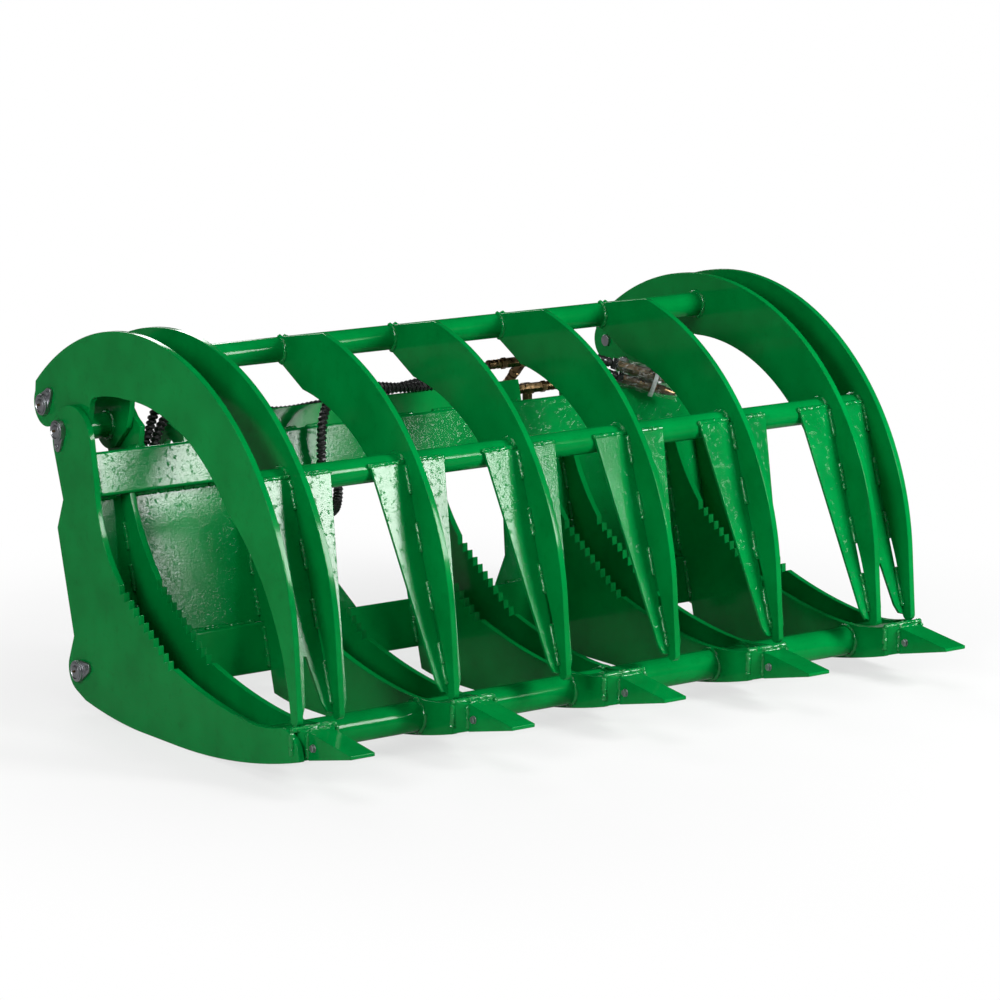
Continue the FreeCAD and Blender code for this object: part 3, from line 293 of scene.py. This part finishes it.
def spiral_guard(name, points, start, end, pitch=0.0108):
    """A wound strip round the hose, from start to end along its line."""
    lengths = [0.0]
    for first, second in zip(points, points[1:]):
        lengths.append(lengths[-1] + (second - first).length)
    section = [(-0.0046, 0.0062), (-0.0034, 0.0096), (0.0, 0.0112), (0.0034, 0.0096),
               (0.0046, 0.0062)]
    corners = len(section)
    steps = 8
    count = int((lengths[-1] - start - end) / pitch * steps)
    vertices, faces = [], []
    side = Vector((0, 0, 1))
    segment = 0
    for index in range(count + 1):
        far = start + index * pitch / steps
        while lengths[segment + 1] < far:
            segment += 1
        along = (points[segment + 1] - points[segment]).normalized()
        centre = points[segment] + along * (far - lengths[segment])
        side = (side - along * side.dot(along)).normalized()
        over = along.cross(side)
        turn = 2 * math.pi * index / steps
        out = side * math.cos(turn) + over * math.sin(turn)
        for shift, radius in section:
            vertices.append(centre + along * shift + out * radius)
        if index:
            low = corners * (index - 1)
            high = corners * index
            for step in range(corners):
                other = (step + 1) % corners
                faces.append((low + step, low + other, high + other, high + step))
    faces.append(tuple(reversed(range(corners))))
    last = corners * count
    faces.append(tuple(range(last, last + corners)))
    mesh = bpy.data.meshes.new(name)
    mesh.from_pydata(vertices, [], faces)
    work = bmesh.new()
    work.from_mesh(mesh)
    bmesh.ops.recalc_face_normals(work, faces=work.faces)
    work.to_mesh(mesh)
    work.free()
    return new_piece(name, mesh, GUARD_PLASTIC)


HOSE_RADIUS = 0.007
GUARD_SET_BACK = 0.046
for name in ROUTES:
    line, points = hose_line(name)
    line.data.bevel_depth = HOSE_RADIUS
    line.data.bevel_resolution = 3
    line.data.use_fill_caps = True
    strand = new_piece(name + "_strand", bpy.data.meshes.new_from_object(line), HOSE_RUBBER)
    bpy.data.objects.remove(line)
    smooth(strand)
    guard = smooth(spiral_guard(name + "_guard", points, GUARD_SET_BACK, GUARD_SET_BACK))
    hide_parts(name)
    if name in HOSE_PORTS:
        body, side = HOSE_PORTS[name]
        for piece in (strand, guard):
            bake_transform(piece)
    else:
        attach(strand, "frame")
        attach(guard, "frame")


# Turned small pieces, modelled once and copied
def clear_selection():
    if bpy.context.object and bpy.context.object.mode != "OBJECT":
        bpy.ops.object.mode_set(mode="OBJECT")
    bpy.ops.object.select_all(action="DESELECT")


def turned(name, profile, sides=24):
    """A piece turned about Z: profile gives its height and radius at each step."""
    clear_selection()
    height, radius = profile[0]
    bpy.ops.mesh.primitive_circle_add(vertices=sides, radius=radius, fill_type="NGON",
                                      location=(0, 0, height))
    piece = bpy.context.object
    piece.name = name
    bpy.ops.object.transform_apply(location=True, rotation=True, scale=True)
    bpy.ops.object.mode_set(mode="EDIT")
    bpy.ops.mesh.select_all(action="SELECT")
    for (low, before), (high, after) in zip(profile, profile[1:]):
        bpy.ops.mesh.extrude_region_move(
            TRANSFORM_OT_translate={"value": (0, 0, high - low), "orient_type": "GLOBAL"})
        if abs(after - before) > 1e-6:
            scale = after / before
            bpy.ops.transform.resize(value=(scale, scale, 1.0), orient_type="GLOBAL",
                                     center_override=(0, 0, high))
    bpy.ops.mesh.select_all(action="SELECT")
    bpy.ops.mesh.normals_make_consistent(inside=False)
    bpy.ops.object.mode_set(mode="OBJECT")
    return piece


def join_all(name, parts):
    clear_selection()
    for part in parts:
        part.select_set(True)
    bpy.context.view_layer.objects.active = parts[0]
    if len(parts) > 1:
        bpy.ops.object.join()
    piece = bpy.context.view_layer.objects.active
    piece.name = name
    piece.data.name = name
    return piece


def placed(template, place, along, scale=1.0):
    """A copy of a piece that was made about Z, set at a place and pointing along."""
    mesh = template.data.copy()
    mesh.transform(Matrix.Scale(scale, 4))
    turn = Vector(along).to_track_quat("Z", "Y").to_matrix().to_4x4()
    mesh.transform(Matrix.Translation(Vector(place)) @ turn)
    piece = bpy.data.objects.new("copy", mesh)
    bpy.context.scene.collection.objects.link(piece)
    return piece


def finish_piece(piece, material, body, angle=35.0):
    piece.data.materials.clear()
    piece.data.materials.append(material)
    smooth(piece, angle)
    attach(piece, body)
    return piece


hex_nut = turned("hex_nut", [(0.0, 0.0108), (0.0012, 0.0127), (0.0118, 0.0127), (0.0132, 0.0108)], 6)
ferrule = turned("ferrule", [
    (0.0130, 0.0082), (0.0170, 0.0082), (0.0172, 0.0104), (0.0225, 0.0106), (0.0235, 0.0098),
    (0.0290, 0.0098), (0.0300, 0.0105), (0.0345, 0.0105), (0.0355, 0.0098), (0.0410, 0.0098),
    (0.0420, 0.0105), (0.0470, 0.0104), (0.0476, 0.0090)])
hose_end = join_all("hose_end", [hex_nut, ferrule])
bolt_washer = turned("bolt_washer", [
    (0.0, 0.0096), (0.0004, 0.0100), (0.0014, 0.0100), (0.0018, 0.0096)])
bolt_head = turned("bolt_head", [
    (0.0018, 0.0088), (0.0020, 0.0092), (0.0068, 0.0092), (0.0080, 0.0078)], 6)
hex_bolt = join_all("hex_bolt", [bolt_washer, bolt_head])
pin_dome = turned("pin_dome", [(0.0, 0.0186), (0.0015, 0.0184), (0.0020, 0.0172), (0.0018, 0.0158),
                               (0.0003, 0.0146), (0.0003, 0.0122), (0.0016, 0.0108),
                               (0.0020, 0.0084), (0.0024, 0.0052)], 32)
grease_fitting = turned("grease_fitting", [
    (0.0022, 0.0046), (0.0052, 0.0046), (0.0056, 0.0030), (0.0076, 0.0026), (0.0086, 0.0034),
    (0.0100, 0.0034), (0.0110, 0.0022)], 16)

COUPLER_STARTS = ((0.550, 0.330, 0.584), (0.565, 0.330, 0.553))
COUPLER_TURN = Vector((-0.775, 0.56, 0.29)).normalized()
hose_ends = {
    "frame": [((0.300, 0.402, 0.602), (-1, 0, 0)), ((0.325, 0.404, 0.541), (-1, 0, 0)),
              ((0.345, 0.424, 0.580), (0, 0.7071, -0.7071)), ((0.360, 0.404, 0.515), (0, 0, -1)),
              ((0.390, 0.402, 0.602), (1, 0, 0)), ((0.395, 0.404, 0.541), (1, 0, 0))],
    "couplers": [(start, COUPLER_TURN) for start in COUPLER_STARTS],
    "barrel_left": [((-0.6855, 0.3891, 0.14267), (1, 0, 0)), ((-0.6855, 0.47459, 0.45104), (1, 0, 0))],
    "barrel_right": [((0.6855, 0.3891, 0.14267), (-1, 0, 0)), ((0.6855, 0.47459, 0.45104), (-1, 0, 0))]}
for body, ends in hose_ends.items():
    copies = [placed(hose_end, place, along) for place, along in ends]
    ends_joined = join_all("hose_ends_" + body, copies)
    if body == "couplers":
        finish_piece(ends_joined, BLACK_ENAMEL, "frame")
    else:
        finish_piece(ends_joined, BRASS, body)

FITTING_SIZE = 0.62
KEEPER_BOLT_SIZE = 0.55
TIP_BOLT_SIZE = 0.8
domes, fittings, keepers = {}, {}, {}
for body, face, centre, keeper_face, keeper in (
        ("frame", 0.7980, PIVOT, 0.7924, (0.4379, 0.5305)),
        ("frame", 0.7980, BASE_PIN, 0.7924, (0.34005, 0.0926)),
        ("jaw", 0.7834, ROD_PIN, 0.7778, (0.4951, 0.6300))):
    for side in (-1, 1):
        out = (side, 0, 0)
        domes.setdefault(body, []).append(placed(pin_dome, (side * face, *centre), out))
        fittings.setdefault(body, []).append(
            placed(grease_fitting, (side * face, *centre), out, FITTING_SIZE))
        keepers.setdefault(body, []).append(
            placed(hex_bolt, (side * keeper_face, *keeper), out, KEEPER_BOLT_SIZE))
for middle in TINE_MIDDLES:
    for side in (-1, 1):
        spot = (middle + side * 0.0270, -0.440, 0.085)
        keepers["frame"].append(placed(hex_bolt, spot, (side, 0, 0), TIP_BOLT_SIZE))
for body in ("frame", "jaw"):
    finish_piece(join_all("pin_domes_" + body, domes[body]), ZINC, body)
    finish_piece(join_all("grease_fittings_" + body, fittings[body]), BRASS, body)
    finish_piece(join_all("hex_bolts_" + body, keepers[body]), ZINC, body, 25.0)
for template in (hose_end, hex_bolt, pin_dome, grease_fitting):
    bpy.data.objects.remove(template)

# Weld beads: rippled runs along a corner, and rings round a tube
BEAD = 0.0064
RIPPLE = 0.0062


def rippled_run(length):
    """A bead that runs up from the origin along Z, its ends closed and rounded."""
    clear_selection()
    count = max(3, round(length / RIPPLE))
    bpy.ops.mesh.primitive_circle_add(vertices=7, radius=BEAD * 0.74, fill_type="NOTHING")
    run = bpy.context.object
    run.name = "rippled_run"
    bpy.ops.object.mode_set(mode="EDIT")
    bpy.ops.mesh.select_all(action="SELECT")
    for rise, scale, high in ((0.35, 1.35, 0.35), (0.65, 1 / 1.35, 1.0)):
        bpy.ops.mesh.extrude_region_move(
            TRANSFORM_OT_translate={"value": (0, 0, RIPPLE * rise), "orient_type": "GLOBAL"})
        bpy.ops.transform.resize(value=(scale, scale, 1.0), orient_type="GLOBAL",
                                 center_override=(0, 0, RIPPLE * high))
    bpy.ops.object.mode_set(mode="OBJECT")
    row = run.modifiers.new("row", "ARRAY")
    row.count = count
    row.use_relative_offset = False
    row.use_constant_offset = True
    row.constant_offset_displace = (0, 0, RIPPLE)
    row.use_merge_vertices = True
    row.merge_threshold = 0.0001
    bpy.ops.object.modifier_apply(modifier="row")
    bpy.ops.object.mode_set(mode="EDIT")
    bpy.ops.mesh.select_all(action="DESELECT")
    work = bmesh.from_edit_mesh(run.data)
    for high, way in ((0.0, -1), (RIPPLE * count, 1)):
        for vertex in work.verts:
            vertex.select = abs(vertex.co.z - high) < 1e-5
        work.select_flush(True)
        bmesh.update_edit_mesh(run.data)
        bpy.ops.mesh.extrude_region_move(
            TRANSFORM_OT_translate={"value": (0, 0, way * 0.0018), "orient_type": "GLOBAL"})
        bpy.ops.transform.resize(value=(0.5, 0.5, 1.0), orient_type="GLOBAL",
                                 center_override=(0, 0, high + way * 0.0018))
        bpy.ops.mesh.edge_face_add()
        bpy.ops.mesh.select_all(action="DESELECT")
        work = bmesh.from_edit_mesh(run.data)
    bpy.ops.mesh.select_all(action="SELECT")
    bpy.ops.mesh.normals_make_consistent(inside=False)
    bpy.ops.object.mode_set(mode="OBJECT")
    return run


def rippled_ring(radius, start=0.0, sweep=360.0):
    """A bead round a tube about Z, whole or over the part of it that is welded."""
    clear_selection()
    waves = round(2 * math.pi * radius / RIPPLE)
    bpy.ops.mesh.primitive_torus_add(major_radius=radius, minor_radius=BEAD,
                                     major_segments=2 * waves, minor_segments=7)
    ring = bpy.context.object
    ring.name = "rippled_ring"
    bpy.ops.object.mode_set(mode="EDIT")
    work = bmesh.from_edit_mesh(ring.data)
    bpy.ops.mesh.select_all(action="DESELECT")
    for vertex in work.verts:
        step = round(math.atan2(vertex.co.y, vertex.co.x) / (math.pi / waves))
        vertex.select = step % 2 == 1
    bmesh.update_edit_mesh(ring.data)
    bpy.ops.transform.shrink_fatten(value=-BEAD * 0.26)
    if sweep < 360.0:
        work = bmesh.from_edit_mesh(ring.data)
        bpy.ops.mesh.select_all(action="DESELECT")
        for vertex in work.verts:
            turn = (math.degrees(math.atan2(vertex.co.y, vertex.co.x)) - start) % 360.0
            vertex.select = turn > sweep
        bmesh.update_edit_mesh(ring.data)
        bpy.ops.mesh.delete(type="VERT")
        bpy.ops.mesh.select_all(action="SELECT")
        bpy.ops.mesh.fill_holes(sides=0)
    bpy.ops.mesh.select_all(action="SELECT")
    bpy.ops.mesh.normals_make_consistent(inside=False)
    bpy.ops.object.mode_set(mode="OBJECT")
    return ring


def ring_at(template, x, centre):
    """The ring lies about X; its own X axis points to +Y and its Y axis up."""
    mesh = template.data.copy()
    turn = Matrix(((0, 0, 1, 0), (1, 0, 0, 0), (0, 1, 0, 0), (0, 0, 0, 1)))
    mesh.transform(Matrix.Translation((x, *centre)) @ turn)
    ring = bpy.data.objects.new("ring", mesh)
    bpy.context.scene.collection.objects.link(ring)
    return ring


runs = {length: rippled_run(length) for length in (0.042, 0.058, 0.080, 0.100)}
cross_ring = rippled_ring(0.0254)
saddle_ring = rippled_ring(0.0254, 96.0, 166.0)
lower_ring = rippled_ring(0.03015)

jaw_beads = []
for face in ARM_FACES + (-0.7587, 0.7587):
    jaw_beads.append(ring_at(cross_ring, face, FRONT_TUBE))
    out = 1 if face in (-0.6651, -0.3997, -0.1302, 0.1428, 0.4123, 0.6779, -0.7587) else -1
    for run in (0.004, 0.118, 0.232, 0.352):
        start = Vector((face + out * 0.0012, *GUSSET_TOP)) + GUSSET_DOWN * run + GUSSET_OUT * 0.0012
        jaw_beads.append(placed(runs[0.080 if run > 0.3 else 0.058], start, GUSSET_DOWN))
    for run in (0.030, 0.200, 0.360):
        start = Vector((face + out * 0.0012, *GUSSET_TOP)) + GUSSET_DOWN * run - GUSSET_OUT * 0.0075
        jaw_beads.append(placed(runs[0.042], start, GUSSET_DOWN))
    top = Vector((face + out * 0.001, -0.2347, 0.5576))
    jaw_beads.append(placed(runs[0.080], top, (out, 0, 0)))
for face in ARM_FACES[2:10]:
    jaw_beads.append(ring_at(saddle_ring, face, UPPER_TUBE))
for side in (-1, 1):
    jaw_beads.append(ring_at(cross_ring, side * 0.6651, UPPER_TUBE))
    for face in (0.6779, 0.7587):
        jaw_beads.append(ring_at(cross_ring, side * face, PIVOT))

frame_beads = []
for face in TINE_FACES + (-0.7733, 0.7733):
    frame_beads.append(ring_at(lower_ring, face, LOWER_TUBE))
    out = -1 if face in (-0.6990, -0.4179, -0.3309, -0.0498, 0.0371, 0.3182, 0.4052, 0.6863, 0.7733) else 1
    frame_beads.append(placed(runs[0.080], leaning(face + out * 0.001, -0.001, 0.010), LEAN_UP))
    if 0.25 < abs(face) < 0.72:
        for up in (0.115, 0.200, 0.285):
            frame_beads.append(placed(runs[0.058], leaning(face + out * 0.001, 0.009, up), LEAN_UP))
for side in (-1, 1):
    for x in (0.205, 0.265, 0.435, 0.495, 0.555, 0.615, 0.712):
        start = leaning(side * x, 0.009, 0.1026)
        frame_beads.append(placed(runs[0.058], start, (side, 0, 0)))
        start = leaning(side * x, 0.009, 0.3950)
        frame_beads.append(placed(runs[0.058], start, (side, 0, 0)))
    for face, out in ((0.6505, -1), (0.6632, 1)):
        start = leaning(side * (face + out * 0.001), -0.027, 0.4859)
        frame_beads.append(placed(runs[0.042], start, LEAN_BACK))
    frame_beads.append(placed(runs[0.080], leaning(side * 0.7723, -0.035, 0.400), LEAN_UP))
    frame_beads.append(placed(runs[0.042], leaning(side * 0.7723, -0.027, 0.4859), LEAN_BACK))
    for face in (0.6863, 0.6990):
        frame_beads.append(placed(runs[0.080], leaning(side * face, 0.0515, 0.010), LEAN_UP))
    for face in (0.5105, 0.5295):
        frame_beads.append(placed(runs[0.080], leaning(side * face, 0.0515, 0.010), LEAN_UP))
        frame_beads.append(placed(runs[0.080], leaning(side * face, 0.0175, 0.400), LEAN_UP))
for x in (-0.315, -0.235, -0.020, 0.085, 0.190, 0.255):
    frame_beads.append(placed(runs[0.058], leaning(x, 0.0098, 0.4857), (1, 0, 0)))
for middle in TINE_MIDDLES:
    frame_beads.append(placed(runs[0.100], (middle - 0.050, -0.4006, 0.1140), (1, 0, 0)))
    frame_beads.append(placed(runs[0.042], (middle - 0.021, -0.4190, 0.1122), (1, 0, 0)))
    for side in (-1, 1):
        frame_beads.append(placed(runs[0.042], (middle + side * 0.0498, -0.4008, 0.066), (0, 0, 1)))
        frame_beads.append(placed(runs[0.042], (middle + side * 0.0262, -0.4190, 0.064), (0, 0, 1)))
for name, beads, body in (("weld_beads_jaw", jaw_beads, "jaw"),
                          ("weld_beads_frame", frame_beads, "frame")):
    welds = join_all(name, beads)
    for vertex in welds.data.vertices:
        vertex.co += noise.noise_vector(vertex.co * 140.0) * 0.0016
    finish_piece(welds, GREEN_WELD, body, 60.0)
for template in list(runs.values()) + [cross_ring, saddle_ring, lower_ring]:
    bpy.data.objects.remove(template)

# Couplers in their film, with tape round both, and the tie over the guard plate
HEADING_OUT = -COUPLER_TURN
film_sleeve = turned("film_sleeve", [(-0.004, 0.0138), (0.0, 0.0182), (0.014, 0.0194), (0.030, 0.0168),
                                     (0.048, 0.0184), (0.066, 0.0158), (0.084, 0.0176),
                                     (0.104, 0.0162), (0.118, 0.0140), (0.124, 0.0100)], 20)
sleeves = []
for number, place in enumerate(COUPLER_STARTS):
    sleeve = placed(film_sleeve, place, HEADING_OUT)
    for vertex in sleeve.data.vertices:
        shake = noise.noise_vector(vertex.co * 60.0 + Vector((number * 5.0, 0, 0)))
        vertex.co += shake * 0.0016
    sleeves.append(sleeve)
bpy.data.objects.remove(film_sleeve)
finish_piece(join_all("coupler_film", sleeves), FILM, "frame", 50.0)


def strap_loop(name, centre, along, wide, tall, width, thick, upright):
    """A flat strap drawn round a bundle."""
    clear_selection()
    bpy.ops.mesh.primitive_cylinder_add(vertices=28, radius=1.0, depth=width, end_fill_type="NOTHING")
    strap = bpy.context.object
    strap.name = name
    bpy.ops.object.mode_set(mode="EDIT")
    bpy.ops.mesh.select_all(action="SELECT")
    bpy.ops.transform.resize(value=(wide, tall, 1.0), orient_type="GLOBAL", center_override=(0, 0, 0))
    bpy.ops.object.mode_set(mode="OBJECT")
    wall = strap.modifiers.new("wall", "SOLIDIFY")
    wall.thickness = thick
    wall.offset = 1.0
    soft = strap.modifiers.new("soft", "BEVEL")
    soft.width = thick * 0.3
    soft.segments = 2
    bpy.ops.object.modifier_apply(modifier="wall")
    bpy.ops.object.modifier_apply(modifier="soft")
    axis = Vector(along).normalized()
    up = (Vector(upright) - axis * Vector(upright).dot(axis)).normalized()
    turn = Matrix((axis.cross(up) * -1, up, axis)).transposed().to_4x4()
    if turn.determinant() < 0:
        turn = Matrix((axis.cross(up), up, axis)).transposed().to_4x4()
    strap.data.transform(Matrix.Translation(Vector(centre)) @ turn)
    return strap


upper_start, lower_start = (Vector(start) for start in COUPLER_STARTS)
bundle = (upper_start + lower_start) / 2
between = lower_start - upper_start
tape = strap_loop("coupler_tape", bundle + HEADING_OUT * 0.078, HEADING_OUT, 0.0195, 0.0362,
                  0.009, 0.0006, between)
finish_piece(tape, TAPE, "frame")
tie = strap_loop("hose_tie", (0.112, 0.3945, 0.5955), (1, 0.02, -0.02), 0.0112, 0.0182,
                 0.0045, 0.0012, (0.0, 0.72, 0.70))
clear_selection()
bpy.ops.mesh.primitive_cube_add(size=0.0085, location=(0.112, 0.3800, 0.6040))
lock = bpy.context.object
bpy.ops.object.transform_apply(location=True, rotation=True, scale=True)
edge = lock.modifiers.new("edge", "BEVEL")
edge.width = 0.0015
edge.segments = 2
bpy.ops.object.modifier_apply(modifier="edge")
finish_piece(join_all("hose_tie", [tie, lock]), TIE_NYLON, "frame")

# The carried nodes: their finishes, and a worn radius on the plates' edges
smoothing = bpy.data.node_groups.new("smooth_faces", "GeometryNodeTree")
smoothing.interface.new_socket("Geometry", in_out="INPUT", socket_type="NodeSocketGeometry")
smoothing.interface.new_socket("Geometry", in_out="OUTPUT", socket_type="NodeSocketGeometry")
group_in = smoothing.nodes.new("NodeGroupInput")
group_out = smoothing.nodes.new("NodeGroupOutput")
shade = smoothing.nodes.new("GeometryNodeSetShadeSmooth")
smoothing.links.new(group_in.outputs[0], shade.inputs["Geometry"])
smoothing.links.new(shade.outputs["Geometry"], group_out.inputs[0])


def eased(obj, width):
    """Dissolve flat facets, round the edges and shade the plates smooth between them."""
    weld = obj.modifiers.new("weld", "WELD")
    weld.merge_threshold = 0.00002
    flat = obj.modifiers.new("flat", "DECIMATE")
    flat.decimate_type = "DISSOLVE"
    flat.angle_limit = math.radians(0.4)
    bevel = obj.modifiers.new("edge", "BEVEL")
    bevel.width = width
    bevel.segments = 2
    bevel.limit_method = "ANGLE"
    bevel.angle_limit = math.radians(30.0)
    bevel.use_clamp_overlap = False
    smoothed = obj.modifiers.new("smooth", "NODES")
    smoothed.node_group = smoothing
    weighted = obj.modifiers.new("weighted", "WEIGHTED_NORMAL")
    weighted.mode = "FACE_AREA"
    weighted.keep_sharp = False


for name, obj in nodes.items():
    mesh = obj.data
    if name in ROUTES:
        continue
    if name.startswith("cylinder_barrel"):
        material, width = BLACK_ENAMEL, 0.0008
    elif name.startswith("cylinder_rod"):
        material, width = CHROME, 0.0006
    elif name in ("pivot_pins", "base_pins", "rod_pins"):
        material, width = ZINC, 0.0010
    elif name in ("hose_tees", "hose_couplers"):
        material, width = BRASS, 0.0008
    elif "gusset" in name or name.startswith("back_panel") or name == "top_beam":
        material, width = GREEN_SCALE, 0.0009
    elif name.startswith("tine_plate"):
        material, width = GREEN, 0.0009
    else:
        material, width = GREEN, 0.0014
    mesh.materials.clear()
    mesh.materials.append(material)
    eased(obj, width)


def larger(tree, first, second):
    """The larger of two values in a node tree."""
    node = tree.nodes.new("ShaderNodeMath")
    node.operation = "MAXIMUM"
    tree.links.new(first, node.inputs[0])
    tree.links.new(second, node.inputs[1])
    return node.outputs[0]


# Floor: white to the camera, dimmer in reflections, with the object's own shadow
floor_mesh = bpy.data.meshes.new("floor")
floor_mesh.from_pydata([(-40, -40, 0), (40, -40, 0), (40, 40, 0), (-40, 40, 0)], [], [(0, 1, 2, 3)])
floor = bpy.data.objects.new("floor", floor_mesh)
floor.location.z = -0.0006
bpy.context.scene.collection.objects.link(floor)
ground = Finish("pale_floor")
ground.nodes.remove(ground.shader)
paths = ground.nodes.new("ShaderNodeLightPath")
away = ground.nodes.new("ShaderNodeVectorMath")
away.operation = "LENGTH"
ground.link(ground.place, away.inputs[0])
far = ground.nodes.new("ShaderNodeMapRange")
far.interpolation_type = "SMOOTHSTEP"
far.inputs["From Min"].default_value = 0.75
far.inputs["From Max"].default_value = 1.9
ground.link(away.outputs["Value"], far.inputs["Value"])
dimmer = ground.nodes.new("ShaderNodeMapRange")
dimmer.inputs["To Min"].default_value = 1.0
dimmer.inputs["To Max"].default_value = 0.3
ground.link(paths.outputs["Is Glossy Ray"], dimmer.inputs["Value"])
near_light = ground.grey(paths.outputs["Is Glossy Ray"], 0.70, 0.22, 0.0, 1.0)
strength = ground.nodes.new("ShaderNodeMapRange")
ground.link(far.outputs["Result"], strength.inputs["Value"])
ground.link(near_light, strength.inputs["To Min"])
ground.link(dimmer.outputs["Result"], strength.inputs["To Max"])
glow = ground.nodes.new("ShaderNodeEmission")
ground.link(strength.outputs["Result"], glow.inputs["Strength"])
share = ground.grey(far.outputs["Result"], 0.22, 0.0, 0.0, 1.0)
seen = ground.nodes.new("ShaderNodeBsdfDiffuse")
ground.link(share, seen.inputs["Color"])
both = ground.nodes.new("ShaderNodeAddShader")
ground.link(glow.outputs[0], both.inputs[0])
ground.link(seen.outputs[0], both.inputs[1])
plain = ground.nodes.new("ShaderNodeBsdfDiffuse")
plain.inputs["Color"].default_value = (0.8, 0.8, 0.8, 1)
ground_tree = ground.material.node_tree
seen_ray = larger(ground_tree, paths.outputs["Is Camera Ray"], paths.outputs["Is Glossy Ray"])
seen_ray = larger(ground_tree, seen_ray, paths.outputs["Is Transmission Ray"])
choice = ground.nodes.new("ShaderNodeMixShader")
ground.link(seen_ray, choice.inputs["Fac"])
ground.link(plain.outputs[0], choice.inputs[1])
ground.link(both.outputs[0], choice.inputs[2])
ground.link(choice.outputs[0], ground.nodes["Material Output"].inputs["Surface"])
floor_mesh.materials.append(ground.material)

# Studio: white behind the object, dim to reflections and dimmer still overhead
world = bpy.data.worlds.new("studio")
bpy.context.scene.world = world
world.use_nodes = True
room = world.node_tree
background = room.nodes["Background"]
background.inputs["Color"].default_value = (1, 1, 1, 1)
coords = room.nodes.new("ShaderNodeTexCoord")
parts = room.nodes.new("ShaderNodeSeparateXYZ")
room.links.new(coords.outputs["Generated"], parts.inputs[0])
height = room.nodes.new("ShaderNodeMapRange")
height.interpolation_type = "SMOOTHSTEP"
height.inputs["From Min"].default_value = 0.03
height.inputs["From Max"].default_value = 0.30
height.inputs["To Min"].default_value = 0.051
height.inputs["To Max"].default_value = 0.0061
room.links.new(parts.outputs["Z"], height.inputs["Value"])
path = room.nodes.new("ShaderNodeLightPath")
backdrop = larger(room, height.outputs["Result"], path.outputs["Is Camera Ray"])
seen_ray = larger(room, path.outputs["Is Camera Ray"], path.outputs["Is Glossy Ray"])
seen_ray = larger(room, seen_ray, path.outputs["Is Transmission Ray"])
level = room.nodes.new("ShaderNodeMix")
level.inputs["A"].default_value = 0.051
room.links.new(seen_ray, level.inputs["Factor"])
room.links.new(backdrop, level.inputs["B"])
room.links.new(level.outputs["Result"], background.inputs["Strength"])


def softbox(name, place, target, width, height, power):
    data = bpy.data.lights.new(name, "AREA")
    data.shape = "RECTANGLE"
    data.size = width
    data.size_y = height
    data.energy = power
    obj = bpy.data.objects.new(name, data)
    obj.location = place
    direction = Vector(target) - Vector(place)
    obj.rotation_euler = direction.to_track_quat("-Z", "Y").to_euler()
    bpy.context.scene.collection.objects.link(obj)


softbox("key", (1.60, -3.26, 2.17), (1.60, 0.0, 2.17), 1.10, 1.5, 235.0)
softbox("top", (-1.0, -0.8, 4.2), (0.0, 0.0, 0.3), 3.0, 2.4, 50.0)
softbox("left", (-4.5, -2.0, 2.4), (0.0, 0.0, 0.4), 1.6, 1.6, 140.0)
softbox("back", (0.8, 3.8, 2.4), (0.0, 0.3, 0.4), 2.2, 1.4, 90.0)
